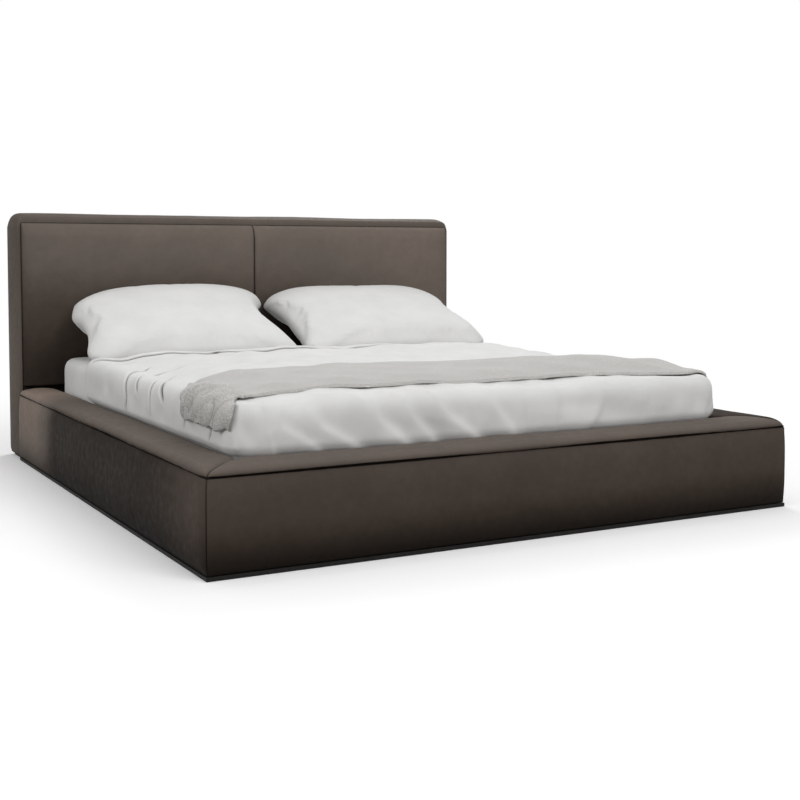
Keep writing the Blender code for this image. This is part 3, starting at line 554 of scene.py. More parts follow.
def knit_finish():
    """Light grey knit: rows of stitches with a speckled fleecy yarn, and painted shade in its crinkles and
    along its edges.
    """
    made = new_finish("throw_knit")
    place = made.place(flat=True)
    solid = made.place()
    knit = made.calc("MULTIPLY", made.bands(place, 42.0, "Y", 7.0), made.bands(place, 58.0, "X", 9.0))
    yarn = made.noise(solid, 330.0, 4.0, 0.65)
    lump = made.noise(solid, 75.0, 3.0)
    fine_fleck = made.ramp(made.noise(solid, 210.0, 2.0, 0.5), 0.60, 0.68)
    wide_fleck = made.ramp(made.noise(solid, 9.0, 2.0, 0.5), 0.50, 0.62)
    fleck = made.calc("MULTIPLY", fine_fleck, wide_fleck)
    colour = made.mix(made.ramp(yarn), (0.39, 0.38, 0.365), (0.60, 0.585, 0.56))
    colour = made.mix(made.ramp(knit, 0.0, 0.5, 0.35, 0.0), colour, (0.27, 0.26, 0.25))
    colour = made.mix(made.calc("MULTIPLY", fleck, 0.7), colour, (0.80, 0.79, 0.76))
    # Painted shade in the crinkles and along the edges of the hanging end.
    colour = made.mix(made.attribute("seam"), colour, (0.10, 0.095, 0.09))
    normal = made.bump(knit, 0.6, 0.0016, made.bump(lump, 0.4, 0.0020))
    return made.done(
        colour, made.ramp(yarn, 0.3, 0.7, 0.85, 0.97), made.bump(yarn, 0.4, 0.0006, normal),
        Specular_IOR_Level=0.15, Sheen_Weight=0.35, Sheen_Roughness=0.6,
    )


def back_finish():
    """Dark woven backing cloth."""
    made = new_finish("backing_cloth")
    place = made.place()
    weave = made.calc("MAXIMUM", made.bands(place, 300.0, "X", 1.0), made.bands(place, 300.0, "Z", 1.0))
    patch = made.noise(place, 14.0, 5.0)
    colour = made.mix(made.ramp(patch), (0.030, 0.027, 0.025), (0.056, 0.050, 0.046))
    rough = made.ramp(patch, 0.3, 0.7, 0.82, 0.95)
    return made.done(colour, rough, made.bump(weave, 0.5, 0.0005), Sheen_Weight=0.2)


def wood_finish(name, along):
    """Planed softwood with its grain along one axis, 0 to 2."""
    made = new_finish(name)
    place = made.place(tuple(0.7 if axis == along else 14.0 for axis in range(3)))
    rings = made.noise(place, 1.6, 3.0, 0.5, 1.6)
    lines = made.calc("FRACT", made.calc("MULTIPLY", rings, 9.0), 0.0)
    fibre = made.noise(place, 24.0, 4.0)
    colour = made.mix(lines, (0.66, 0.48, 0.30), (0.50, 0.33, 0.18))
    colour = made.mix(made.ramp(fibre, 0.4, 0.8, 0.0, 0.5), colour, (0.42, 0.27, 0.14))
    return made.done(colour, made.ramp(fibre, 0.3, 0.7, 0.55, 0.75), made.bump(fibre, 0.25, 0.0006))


def steel_finish():
    """Zinc-plated steel, slightly cloudy."""
    made = new_finish("zinc_plate")
    cloud = made.cells(made.place(), 90.0, "F1")
    scratch = made.noise(made.place((1.0, 1.0, 18.0)), 160.0, 3.0, 0.5)
    colour = made.mix(made.ramp(cloud, 0.0, 0.8), (0.50, 0.51, 0.53), (0.66, 0.67, 0.68))
    rough = made.ramp(scratch, 0.3, 0.7, 0.30, 0.46)
    return made.done(colour, rough, made.bump(scratch, 0.15, 0.0002), Metallic=1.0)


def plastic_finish(name, dark, light, rough):
    """Moulded or wrapped black plastic with a fine texture."""
    made = new_finish(name)
    place = made.place()
    fine = made.noise(place, 520.0, 3.0, 0.5)
    colour = made.mix(made.ramp(made.noise(place, 12.0, 3.0, 0.5)), dark, light)
    rough = made.ramp(fine, 0.3, 0.7, rough - 0.06, rough + 0.06)
    return made.done(colour, rough, made.bump(fine, 0.3, 0.0003), Specular_IOR_Level=0.2)


leather = leather_finish()
duvet_cotton = weave_finish("duvet_cotton", (0.69, 0.688, 0.68), (0.75, 0.748, 0.74))
sheet_cotton = weave_finish("sheet_cotton", (0.75, 0.748, 0.74), (0.81, 0.808, 0.80))
pillow_cotton = weave_finish("pillow_cotton", (0.70, 0.698, 0.69), (0.76, 0.758, 0.75), flat=False)
ticking = weave_finish("mattress_ticking", (0.76, 0.75, 0.71), (0.84, 0.83, 0.79), 160.0, 0.88, 0.15)
knit = knit_finish()
backing = back_finish()
pine = [wood_finish(f"pine_{axis}", number) for number, axis in enumerate("xyz")]
steel = steel_finish()
plinth_black = plastic_finish("plinth_black", (0.008, 0.0075, 0.007), (0.014, 0.013, 0.012), 0.62)
glide_black = plastic_finish("glide_black", (0.022, 0.022, 0.022), (0.034, 0.034, 0.034), 0.5)


def dress_kept_nodes():
    """Give the CAD nodes that stay their materials; timber grain runs along each piece."""
    for name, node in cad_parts.items():
        if "plinth" in name:
            finish = plinth_black
        elif "bracket" in name or "bolt" in name:
            finish = steel
        elif "glide" in name:
            finish = glide_black
        elif name == "headboard_back_cover":
            finish = backing
        else:
            low, high = (np.array(corner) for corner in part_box(name))
            finish = pine[int(np.argmax(high - low))]
        for place in node.material_slots:
            place.material = finish


# Rails

def rail_painted_light(height, face_share=1.0, top_share=1.0):
    """Painted light on a rail's leather: lighter on top, painted shade towards the floor."""
    face = face_share * (0.25 + 0.84 * ease(height / 0.15) + 0.38 * ease(height / 0.28))
    on_top = ease((height - rail_seam_height) / 0.02)
    return face + (top_share * 2.75 - face) * on_top


def rail_profile(fade, drop):
    """Closed outline of a rail's padded cover: inward distance, height and painted seam shade."""
    points = [(foam_outer, cover_bottom, 0.3), (rail_crown + 0.004, cover_bottom, 0.3)]
    face_top = rail_seam_height - rail_seam_half_width
    for share in np.linspace(0.0, 1.0, 34):
        eased = 0.5 - 0.5 * math.cos(math.pi * share)
        swell = (1.0 - abs(2.0 * eased - 1.0) ** 4) * fade
        # Painted shade along the bottom edge of the face.
        painted_shade = 0.35 * (1.0 - min(1.0, eased / 0.02))
        points.append((rail_crown * (1.0 - swell), cover_bottom + eased * (face_top - cover_bottom), painted_shade))
    depth = rail_seam_depth * (0.25 + 0.75 * fade)
    # Painted shade in the seam groove.
    for step, share in ((-1, 0.35), (0, 1.0), (1, 0.35)):
        points.append((rail_crown + share * depth, rail_seam_height + step * rail_seam_shoulder, 1.0))
    top_edge = rail_height - rail_top_crown - drop
    roll_bottom = rail_seam_height + rail_seam_half_width
    roll_start = rail_crown * (1.0 - 0.5 * fade) + rail_corner_inset * (1.0 - fade)
    flat_start = roll_start + rail_outer_radius
    flat_end = rail_width - rail_inner_radius
    low = top_edge - rail_inner_radius
    inner = rail_width - foam_inner
    for angle in np.linspace(0.0, math.pi / 2, 12):
        out = roll_start + rail_outer_radius * (1.0 - math.cos(angle))
        points.append((out, roll_bottom + (top_edge - roll_bottom) * math.sin(angle), 0.0))
    for share in np.linspace(0.0, 1.0, 16)[1:-1]:
        rise = rail_top_crown * (1.0 - (2.0 * share - 1.0) ** 2)
        points.append((flat_start + share * (flat_end - flat_start), top_edge + rise, 0.0))
    for angle in np.linspace(0.0, math.pi / 2, 8):
        out = flat_end + rail_inner_radius * math.sin(angle)
        points.append((out, low + rail_inner_radius * math.cos(angle), 0.0))
    for share in np.linspace(0.0, 1.0, 7)[1:]:
        points.append((rail_width, low + (wrap_height - low) * share, 0.0))
    corners = ((inner, wrap_height), (inner, core_top + gap), (foam_outer, core_top + gap))
    return np.array(points + [(*corner, 0.0) for corner in corners])


def rail_places(length, far_fade):
    """Distances along a rail, close together near its ends."""
    near = rail_end_fade * (1.0 - np.cos(np.linspace(0.0, math.pi / 2, 12)))
    far = length - far_fade * (1.0 - np.cos(np.linspace(math.pi / 2, 0.0, 14)))
    steps = int((far[0] - near[-1]) / 0.011)
    middle = np.linspace(near[-1], far[0], steps + 1)[1:-1]
    return np.concatenate([near, middle, far])


def soften(rings, pins, seed, mirror=1.0):
    """Uneven padding: shallow swells over the whole cover and small gathers near its seams."""
    x, y, z = mirror * rings[..., 0], rings[..., 1], rings[..., 2]
    normal = np.cross(np.gradient(rings, axis=1), np.gradient(rings, axis=0))
    normal /= np.linalg.norm(normal, axis=-1, keepdims=True) + 1e-12
    swell = cover_swell * soft_noise(x, y, z, 0.45, seed) + cover_ripple * soft_noise(x, y, z, 0.11, seed + 1)
    gather = cover_gather * soft_noise(x, y, z * 0.3, 0.045, seed + 2)
    near_seam = np.exp(-np.abs(z - rail_seam_height) / 0.012)
    depth = (swell + gather * near_seam) * pins
    return rings + mirror * normal * depth[..., None]


def add_rail(name, node, length, head_round, drop_at, ring_at, seed, mirror, painted_light_at):
    """Padded leather cover of a rail, from its outline at each place along it."""
    rings, marks, pins = [], [], []
    for place in rail_places(length, head_round):
        from_end = min(place, length - place)
        outline = rail_profile(float(rounded(from_end / rail_end_fade)), drop_at(place))
        rings.append(ring_at(outline, place))
        # Painted shade along the seams, along the bottom edge and at the rail's ends.
        marks.append(np.maximum(outline[:, 2], math.exp(-from_end / rail_end_mark)))
        loose = float(ease(from_end / 0.03))
        pins.append(loose * (outline[:, 0] < rail_width - 0.004) * (outline[:, 1] > 0.03))
    rings = soften(np.array(rings), np.array(pins), seed, mirror)
    made = tube_piece(name, rings, leather, "bed_frame", np.array(marks), painted_light_at(rings))
    return stands_in(made, node)


def add_side_rail(side_name, side):
    """A side rail's cover, from its mitre at the foot to the headboard."""
    length = face_y - gap - foot_y

    def drop_at(place):
        at_mitre = rail_mitre_drop * (1.0 - float(rounded(place / rail_end_fade)))
        return at_mitre + rail_head_drop * (1.0 - float(rounded((length - place) / rail_head_round)))

    def ring_at(outline, place):
        start = foot_y + outline[:, 0] + gap
        along = start + (face_y - gap - start) * place / length
        return np.stack([side * (half_width - outline[:, 0]), along, outline[:, 1]], axis=-1)

    def painted_light_at(rings):
        # Painted light: lighter towards the headboard end and near the foot; the left rail's top lighter
        # still at its rear, the right rail's top painted darker.
        rear = ease((rings[..., 1] - face_y + 0.62) / 0.36)
        near = ease((foot_y + 0.50 - rings[..., 1]) / 0.45)
        top_share = 0.30 if side > 0 else 1.00 + 1.75 * rear
        return rail_painted_light(rings[..., 2], 0.33 + 4.60 * rear + 0.62 * near, top_share)

    add_rail(
        f"rail_{side_name}_leather", f"side_rail_{side_name}_cover", length, rail_head_round,
        drop_at, ring_at, 11 + side, -side, painted_light_at,
    )


def add_foot_rail():
    """The foot rail's cover, between its two mitres."""

    def drop_at(place):
        return rail_mitre_drop * (1.0 - float(rounded(min(place, bed_width - place) / rail_end_fade)))

    def ring_at(outline, place):
        x = (half_width - outline[:, 0] - gap) * (2.0 * place / bed_width - 1.0)
        return np.stack([x, foot_y + outline[:, 0], outline[:, 1]], axis=-1)

    add_rail(
        "rail_foot_leather", "foot_rail_cover", bed_width, rail_end_fade, drop_at, ring_at, 31, -1,
        lambda rings: rail_painted_light(rings[..., 2]),
    )


# Headboard

def board_painted_light(height, across=-1.0):
    """Painted light on the headboard's leather: lighter towards its top and its right end, painted shade low
    on the left.
    """
    rise = 0.56 + 0.84 * ease((height - 0.30) / 0.34) + 2.00 * ease((height - 0.60) / 0.34)
    return rise + (4.4 - rise) * 0.85 * ease((across - 0.10) / 0.80)


def border_painted_light(height):
    """Painted light on the headboard's border leather: lightest half way up, darker over the top."""
    side = 2.15 + 0.75 * np.exp(-((height - 0.45) / 0.20) ** 2)
    return side * (1.0 + 0.15 * ease((height - border_top) / 0.02 + 1.0))


def border_path():
    """Inner point, outer point and direction of the border along the headboard's edge."""
    radius = border_corner_radius
    reach = border_half_width - radius
    height = border_top - radius
    left = []
    for z in np.linspace(headboard_bottom, height, 60)[:-1]:
        left.append(((-border_half_width, z), (-border_half_width, z), 180.0))
    for step in range(13):
        angle = 180.0 - 90.0 * step / 12
        turn = math.radians(angle)
        upward = min(1.0, 2.0 * step / 12)
        across = max(0.0, 2.0 * step / 12 - 1.0)
        inner = (-border_half_width + radius * across, height + radius * upward)
        left.append((inner, (-reach + radius * math.cos(turn), height + radius * math.sin(turn)), angle))
    top = [((x, border_top), (x, border_top), 90.0) for x in np.linspace(-reach, reach, 130)[1:-1]]
    right = [((-inner[0], inner[1]), (-outer[0], outer[1]), 180.0 - angle)
             for inner, outer, angle in left[::-1]]
    return left + top + right


border_strip_shares = (0.0, 0.10, 0.22, 0.5, 0.8)


def add_border():
    """Leather strip over the top and the sides of the headboard."""
    depth = headboard_depth
    near = border_edge_round * (1.0 - np.cos(np.linspace(0.0, math.pi / 2, 9)))
    middle = np.linspace(near[-1], depth - near[-1], 16)[1:-1]
    cross = np.concatenate([near, middle, (depth - near)[::-1]])
    edge = rounded(np.minimum(cross, depth - cross) / border_edge_round)
    bow = 1.0 - (2.0 * cross / depth - 1.0) ** 2
    shape = border_edge_share * edge + (1.0 - border_edge_share) * bow
    strips = len(border_strip_shares)
    rings, pins = [], []
    for inner, outer, angle in border_path():
        way = np.array([math.cos(math.radians(angle)), 0.0, math.sin(math.radians(angle))])
        inner, outer = (np.array([x, face_y, z]) for x, z in (inner, outer))
        share = float(ease(way[2])) ** 3
        lift = float(ease((outer[2] - headboard_bottom) / border_corner_radius))
        crown = lift * (border_side_crown + share * (border_top_crown - border_side_crown))
        ring = [inner + (outer + border_edge_thickness * way - inner) * part for part in border_strip_shares]
        for place, rise in zip(cross, shape):
            ring.append(outer + (border_edge_thickness + crown * rise) * way + np.array([0.0, place, 0.0]))
        ring.append(np.array([inner[0], head_y, inner[2]]))
        rings.append(ring)
        loose = list(ease(np.minimum(cross, depth - cross) / 0.03) * lift)
        pins.append([0.0] * strips + loose + [0.0])
    # Painted shade along the inner edge, where the border meets the pads, and faintly at the back.
    marks = [[1.0, 0.4] + [0.0] * (strips - 2 + len(cross)) + [0.2]] * len(rings)
    rings = soften(np.array(rings), -np.array(pins), 51)
    # Painted light: lightest half way up the border.
    made = tube_piece(
        "headboard_border_leather", rings, leather, "bed_frame", np.array(marks),
        border_painted_light(rings[..., 2]),
    )
    return stands_in(made, "headboard_border")


def pad_places(low, high, low_round, high_round, pitch):
    """Places across a pad, close together over its rounded edges."""
    near = low + low_round * (1.0 - np.cos(np.linspace(0.0, math.pi / 2, 12)))
    far = high - high_round * (1.0 - np.cos(np.linspace(math.pi / 2, 0.0, 16)))
    steps = int((far[0] - near[-1]) / pitch)
    return np.concatenate([near, np.linspace(near[-1], far[0], steps + 1)[1:-1], far])


def add_pad(side_name, side):
    """One of the two crowned front pads of the headboard."""
    outer = border_half_width - gap
    top = border_top - gap
    across = pad_places(gap, outer, pad_seam_round, pad_edge_round, 0.010)
    up = pad_places(pad_bottom, top, pad_bottom_round, pad_edge_round, 0.010)
    place, height = np.meshgrid(across, up)
    top_share = rounded((top - height) / pad_edge_round)
    seam = pad_seam_depth * (1.0 - rounded((place - gap) / pad_seam_round))
    depth = (pad_crown - seam * top_share) * rounded((outer - place) / pad_edge_round) * top_share
    depth = depth * rounded((height - pad_bottom) / pad_bottom_round)
    from_outside = np.minimum(outer - place, top - height)
    free = np.minimum(from_outside, np.minimum(place - gap, height - pad_bottom))
    x = side * place
    swell = pad_swell * soft_noise(x, 0.0, height, 0.30, 71)
    swell = swell + pad_ripple * soft_noise(x, 0.0, height, 0.08, 72)
    gather = pad_gather * soft_noise(x, 0.0, height, 0.030, 73) * np.exp(-free / 0.018)
    depth = depth + (swell - pad_swell) * ease(free / 0.04) + gather * ease(free / 0.006)
    front = np.stack([x, face_y - depth, height], axis=-1)
    back = np.stack([x, np.full_like(x, pad_back_y), height], axis=-1)
    # Painted shade along the centre seam and the outer edges, and painted light that is lighter towards the
    # top and the right end.
    made = sheet_piece(
        f"headboard_pad_{side_name}_leather", front, back, leather, "bed_frame",
        seam=np.maximum(np.exp(-(place - gap) / 0.0022), np.exp(-from_outside / 0.0012)),
        painted_light=board_painted_light(height, x),
    )
    return stands_in(made, f"headboard_pad_{side_name}")


def add_lower_cover():
    """Flat leather on the headboard's front below the pads, behind the rails and the mattress."""
    inner = border_half_width - gap
    x = np.linspace(-inner, inner, 120)
    z = np.linspace(headboard_bottom, pad_bottom - gap, 22)
    across, height = np.meshgrid(x, z)
    free = np.minimum(inner - np.abs(across), np.minimum(height - z[0], z[-1] - height))
    bow = lower_cover_bow * (1.0 + soft_noise(across, 0.0, height, 0.2, 81)) * ease(free / 0.02)
    front_y = face_y + lower_cover_step - np.clip(bow, 0.0, lower_cover_bow_most)
    front = np.stack([across, front_y, height], axis=-1)
    back = np.stack([across, np.full_like(across, pad_back_y), height], axis=-1)
    # Painted shade along the edges, and painted light that is lighter towards the top.
    made = sheet_piece(
        "headboard_lower_leather", front, back, leather, "bed_frame",
        seam=np.exp(-free / 0.002) * 0.6, painted_light=board_painted_light(height),
    )
    return stands_in(made, "headboard_lower_cover")


# Mattress and sheet

def mattress_outline(inset, radius, pitch=0.012):
    """Rounded rectangle round the mattress, as points one after another."""
    half_x, half_y = mattress_width / 2 - inset, mattress_length / 2 - inset
    radius = max(radius - inset, 0.004)
    centres = np.array([(1, 1), (-1, 1), (-1, -1), (1, -1)]) * (half_x - radius, half_y - radius)
    points = []
    for number, centre in enumerate(centres):
        turns = np.radians(90.0 * (number + np.arange(13) / 12))[:, None]
        corner = centre + radius * np.concatenate([np.cos(turns), np.sin(turns)], axis=1)
        end = corner[-1] + centres[(number + 1) % 4] - centre
        steps = int((mattress_length if number % 2 else mattress_width) / pitch)
        points += [corner, corner[-1] + (end - corner[-1]) * np.arange(1, steps)[:, None] / steps]
    return np.concatenate(points) + (mattress_shift, mattress_centre_y)


def ring_stack(levels):
    """Rings of the mattress's outline at pairs of inset and height."""
    rings = []
    for inset, height in levels:
        outline = mattress_outline(inset, mattress_corner_radius)
        rings.append(np.concatenate([outline, np.full((len(outline), 1), height)], axis=1))
    return np.array(rings)


def edge_levels(steps):
    """Inset and height over the mattress's rounded top edge, going up."""
    radius = mattress_edge_radius
    angles = np.linspace(0.0, math.pi / 2, steps)
    return [(radius * (1.0 - math.cos(a)), mattress_top - radius * (1.0 - math.sin(a))) for a in angles]


def add_mattress():
    """Mattress: quilted ticking with taped edges."""
    low = 0.022
    levels = [(0.30, mattress_bottom), (0.05, mattress_bottom), (0.014, mattress_bottom)]
    levels += [(low * (1.0 - math.sin(a)), mattress_bottom + low * (1.0 - math.cos(a)))
               for a in np.linspace(0.25, math.pi / 2, 6)]
    start = mattress_bottom + low
    end = mattress_top - mattress_edge_radius
    levels += [(0.0, start + (end - start) * share) for share in np.linspace(0.08, 0.95, 14)]
    levels += edge_levels(10)
    levels += [(inset, mattress_top) for inset in (0.09, 0.14, 0.22, 0.32, 0.45, 0.62, 0.78)]
    rings = ring_stack(levels)
    out = rings[..., :2] - (mattress_shift, mattress_centre_y)
    way = out / np.linalg.norm(out, axis=-1, keepdims=True)
    share = np.clip((rings[..., 2] - start) / (end - start), 0.0, 1.0)
    on_side = (share > 0.0) * (share < 1.0)
    tuft = np.sin(math.pi * share * 3.0) ** 2 * on_side
    rings[..., :2] -= way * (0.003 * (1.0 - tuft) * on_side)[..., None]
    made = tube_piece("mattress_ticked", rings, ticking, "mattress")
    return stands_in(made, "mattress")


def fuller(inset, height):
    """A place on the rounded top edge, moved out to the squarer edge that the bare sheet shows."""
    radius = mattress_edge_radius
    start = mattress_top - radius
    if height <= start or inset >= radius:
        return inset, height
    out = 1.0 - inset / radius
    rise = (height - start) / radius
    share = (out ** sheet_edge_power + rise ** sheet_edge_power) ** (-1.0 / sheet_edge_power)
    return radius * (1.0 - out * share), start + radius * rise * share


def add_fitted_sheet():
    """Fitted sheet over the mattress's top and sides, gathered under its lower edge."""
    hem = mattress_bottom + sheet_hem_height
    end = mattress_top - mattress_edge_radius
    levels = [(0.0, hem + (end - hem) * share) for share in np.linspace(0.0, 0.95, 16)]
    levels += edge_levels(12)
    insets = (0.075, 0.10, 0.14, 0.19, 0.25, 0.33, 0.43, 0.55, 0.68, 0.80)
    levels += [(inset, mattress_top) for inset in insets]
    face = ring_stack(levels)
    full = ring_stack([fuller(inset, height) for inset, height in levels])
    face = face + ease((face[..., 1:2] - duvet_head_y + 0.02) / 0.05) * (full - face)
    x, y, z = face[..., 0], face[..., 1], face[..., 2]
    normal = np.cross(np.roll(face, -1, axis=1) - np.roll(face, 1, axis=1), np.gradient(face, axis=0))
    normal /= np.linalg.norm(normal, axis=-1, keepdims=True) + 1e-12
    from_middle = face - (mattress_shift, mattress_centre_y, 0.2)
    normal *= np.sign(np.sum(normal * from_middle, axis=-1, keepdims=True))
    hang = np.clip((mattress_top - z) / 0.2, 0.0, 1.0)
    crinkle = sheet_crinkle * (1.0 + soft_noise(x, y, z * 0.25, 0.07, 91)) * hang
    crinkle += sheet_ripple * (1.0 + soft_noise(x, y, z, 0.11, 92))
    inner = face + normal * gap
    outer = face + normal * (gap + sheet_thickness * 0.45 + np.clip(crinkle, 0.0, 0.006) * 0.35)[..., None]
    rows, columns = face.shape[:2]
    size = rows * columns
    last = size - columns
    faces = grid_faces(rows, columns, wrap=True) + grid_faces(rows, columns, start=size, wrap=True, flip=True)
    for column in range(columns):
        after = (column + 1) % columns
        faces.append([column, after, size + after, size + column])
    faces.append([last + column for column in range(columns)])
    faces.append([size + last + column for column in range(columns)][::-1])
    points = np.concatenate([outer.reshape(-1, 3), inner.reshape(-1, 3)])
    flat = points[:, :2] + points[:, 2:] * (0.0, 1.0)
    made = add_piece(
        "fitted_sheet_cotton", points, faces, sheet_cotton, "mattress", flat=flat,
    )
    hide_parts("fitted_sheet")
    return made


# Duvet and throw

def past_edges(across, along):
    """How far a place on flat cloth lies past the side and past the foot of the mattress's top."""
    return np.maximum(0.0, np.abs(across) - core_half_width), np.maximum(0.0, core_foot_y - along)


def cover_point(across, along, lift):
    """Wrap flat cloth over the mattress's rounded edges, at a height over its top."""
    side = np.where(across > 0.0, 1.0, -1.0)
    over_side, over_foot = past_edges(across, along)
    over = np.maximum(over_side, over_foot)
    turn = np.where(over > 0.0, np.arctan2(over_foot, over_side), 0.0)
    radius = core_radius + lift
    bend = math.pi / 2 * np.minimum(1.0, over / core_arc)
    out = np.where(over > 0.0, radius * np.sin(bend), 0.0)
    height = core_z + radius * np.cos(bend) - np.maximum(0.0, over - core_arc)
    base_x = np.where(over_side > 0.0, side * core_half_width, across)
    base_y = np.where(over_foot > 0.0, core_foot_y, along)
    x = mattress_shift + base_x + side * out * np.cos(turn)
    y = base_y - out * np.sin(turn)
    return np.stack(np.broadcast_arrays(x, y, height), axis=-1)


throw_rear_shares = (0.40, 0.435, 0.455, 0.47, 0.505, 0.480, 0.45, 0.43, 0.41, 0.40, 0.40, 0.42)
throw_front_shares = (0.060, 0.080, 0.098, 0.086, 0.090, 0.075, 0.075, 0.078, 0.080, 0.070, 0.050, 0.030)
throw_end_spread_share = 0.065
throw_end_gather_share = 0.15


def share_at(shares, place):
    """Read a list of shares, with eased steps between them, at places from -1 to 1."""
    position = np.clip((place + 1.0) / 2.0, 0.0, 1.0) * (len(shares) - 1)
    index = np.minimum(position.astype(int), len(shares) - 2)
    values = np.array(shares)
    return values[index] + (values[index + 1] - values[index]) * ease(position - index)


def throw_rear_at(place):
    """Place along the bed of the throw's rear edge."""
    gather = throw_end_gather_share * (1.0 - ease((place + 1.09) / 0.14))
    return mattress_foot_y + duvet_length_on_top * (share_at(throw_rear_shares, place) - gather)


def throw_front_at(place):
    """Place along the bed of the throw's front edge."""
    return mattress_foot_y + duvet_length_on_top * share_at(throw_front_shares, place)


def duvet_lift(across, along):
    """Height of the duvet's outer face over its inner face, without its creases."""
    over_side, over_foot = past_edges(across, along)
    over = np.maximum(over_side, over_foot)
    from_edge = np.minimum(core_half_width - np.abs(across), along - core_foot_y)
    lift = duvet_thickness + duvet_top_loft * ease(from_edge / duvet_loft_width)
    bunch_x = core_half_width * duvet_bunch_across_share
    bunch_y = core_foot_y + duvet_length_on_top * duvet_bunch_along_share
    from_bunch = np.hypot(across - bunch_x, along - bunch_y) / duvet_bunch_radius
    lift = lift + duvet_bunch_height * ease(1.0 - from_bunch)
    on_fold = 1.0 - ease((duvet_head_y - along) / duvet_fold_length - 0.5)
    lift = lift + (duvet_fold_thickness - duvet_thickness) * on_fold * ease(1.0 - over_side / core_arc)
    low_share = ease((over - core_arc - rail_drop) / duvet_tuck_fade + 0.4)
    lift = lift - (duvet_thickness - duvet_tuck_thickness) * low_share
    by_side = ease((over_side - over_foot) / 0.08 + 0.5)
    swell = duvet_side_swell * ease(over_side / core_arc) * by_side
    swell = swell + duvet_foot_swell * ease(over_foot / core_arc) * (1.0 - by_side)
    bend = np.clip(over / core_arc, 0.0, 1.0)
    fill = np.sin(math.pi * bend) ** 2 + 0.45 * ease(bend) * (1.0 - low_share)
    return lift + swell * (1.0 - low_share) + duvet_corner_fill * fill


def line_distance(across, along, line):
    """Distance from a line, which side of it a place is on, and how far along it the nearest point is."""
    line = np.array(line, dtype=float)
    best = np.full(np.shape(across), 9.0)
    place = np.zeros(np.shape(across))
    right = np.zeros(np.shape(across), dtype=bool)
    total = len(line) - 1
    for index in range(total):
        start, end = line[index], line[index + 1]
        way = end - start
        size = way @ way
        from_x, from_y = across - start[0], along - start[1]
        share = np.clip((from_x * way[0] + from_y * way[1]) / size, 0.0, 1.0)
        away = np.hypot(from_x - share * way[0], from_y - share * way[1])
        nearer = away < best
        best = np.where(nearer, away, best)
        place = np.where(nearer, (index + share) / total, place)
        right = np.where(nearer, way[0] * from_y - way[1] * from_x > 0.0, right)
    return best, right, place


def eased_line(line):
    """The same line with its corners cut twice, so that it bends smoothly."""
    points = np.array(line, dtype=float)
    for _round in range(2):
        start, end = points[:-1], points[1:]
        between = np.stack([0.75 * start + 0.25 * end, 0.25 * start + 0.75 * end], axis=1).reshape(-1, 2)
        points = np.concatenate([points[:1], between[1:-1], points[-1:]])
    return points


def crease(across, along, line, width, depth, puff):
    """A wrinkle: a narrow valley with a soft swell on both sides of a line."""
    away, _right, place = line_distance(across, along, line)
    fade = ease(place / 0.12) * ease((1.0 - place) / 0.30)
    valley = np.exp(-(away / width) ** 2)
    swell = np.exp(-((away - 2.6 * width) / (1.6 * width)) ** 2)
    return depth * fade * (puff * swell - valley)


def pleat(across, along, line, width, height):
    """A soft fold: it rises slowly from the left to its line and drops quickly on the right."""
    away, right, place = line_distance(across, along, line)
    fade = ease(place / 0.40) * ease((1.0 - place) / 0.08 + 0.5)
    reach = width * np.where(right, fold_right_share, fold_left_share)
    return height * fade * np.exp(-(away / reach) ** 2)


duvet_creases = (
    (((-0.915, -0.064), (-0.885, -0.076), (-0.852, -0.080), (-0.812, -0.046), (-0.734, 0.080),
      (-0.694, 0.102)), 0.0050, 0.0075),
    (((-0.845, -0.205), (-0.830, -0.177), (-0.794, -0.125), (-0.738, -0.075), (-0.686, -0.055),
      (-0.574, -0.029)), 0.0045, 0.0065),
    (((-0.900, -0.336), (-0.874, -0.340), (-0.830, -0.330), (-0.790, -0.270), (-0.698, -0.186)),
     0.0050, 0.0065),
    (((-0.845, -0.470), (-0.834, -0.457), (-0.810, -0.409), (-0.758, -0.325), (-0.722, -0.301)),
     0.0045, 0.0060),
    (((-0.850, -0.880), (-0.878, -0.865), (-0.915, -0.835)), 0.0045, 0.0050),
    (((-0.850, -0.658), (-0.870, -0.655), (-0.900, -0.645)), 0.0045, 0.0040),
)
duvet_creases = tuple((eased_line(line), width, depth) for line, width, depth in duvet_creases)

fold_left_share = 4.0
fold_right_share = 1.3
fold_height_share = 2.3
duvet_folds = (
    (((-0.758, -0.960), (-0.772, -1.002), (-0.744, -1.098), (-0.730, -1.150)), 0.011, 0.0034),
    (((-0.736, -0.990), (-0.720, -1.034), (-0.628, -1.094), (-0.570, -1.150)), 0.012, 0.0041),
    (((-0.666, -0.965), (-0.644, -1.010), (-0.584, -1.054), (-0.520, -1.090), (-0.440, -1.150)),
     0.013, 0.0054),
    (((-0.575, -0.900), (-0.532, -0.974), (-0.456, -1.010), (-0.356, -1.094), (-0.290, -1.150)),
     0.014, 0.0068),
    (((-0.390, -0.918), (-0.364, -0.980), (-0.336, -1.018), (-0.260, -1.094), (-0.210, -1.150)),
     0.013, 0.0061),
    (((-0.330, -0.950), (-0.268, -0.990), (-0.228, -1.020), (-0.124, -1.090), (-0.050, -1.150)),
     0.013, 0.0061),
    (((-0.115, -0.970), (-0.064, -1.010), (-0.024, -1.040), (0.016, -1.090), (0.050, -1.150)),
     0.013, 0.0054),
    (((0.060, -0.970), (0.056, -1.034), (0.060, -1.082), (0.070, -1.150)), 0.011, 0.0027),
    (((0.196, -0.970), (0.184, -1.034), (0.184, -1.082), (0.180, -1.150)), 0.011, 0.0027),
    (((0.382, -0.980), (0.348, -1.046), (0.320, -1.082), (0.290, -1.150)), 0.011, 0.0034),
    (((0.530, -0.980), (0.518, -1.050), (0.526, -1.150)), 0.011, 0.0020),
)


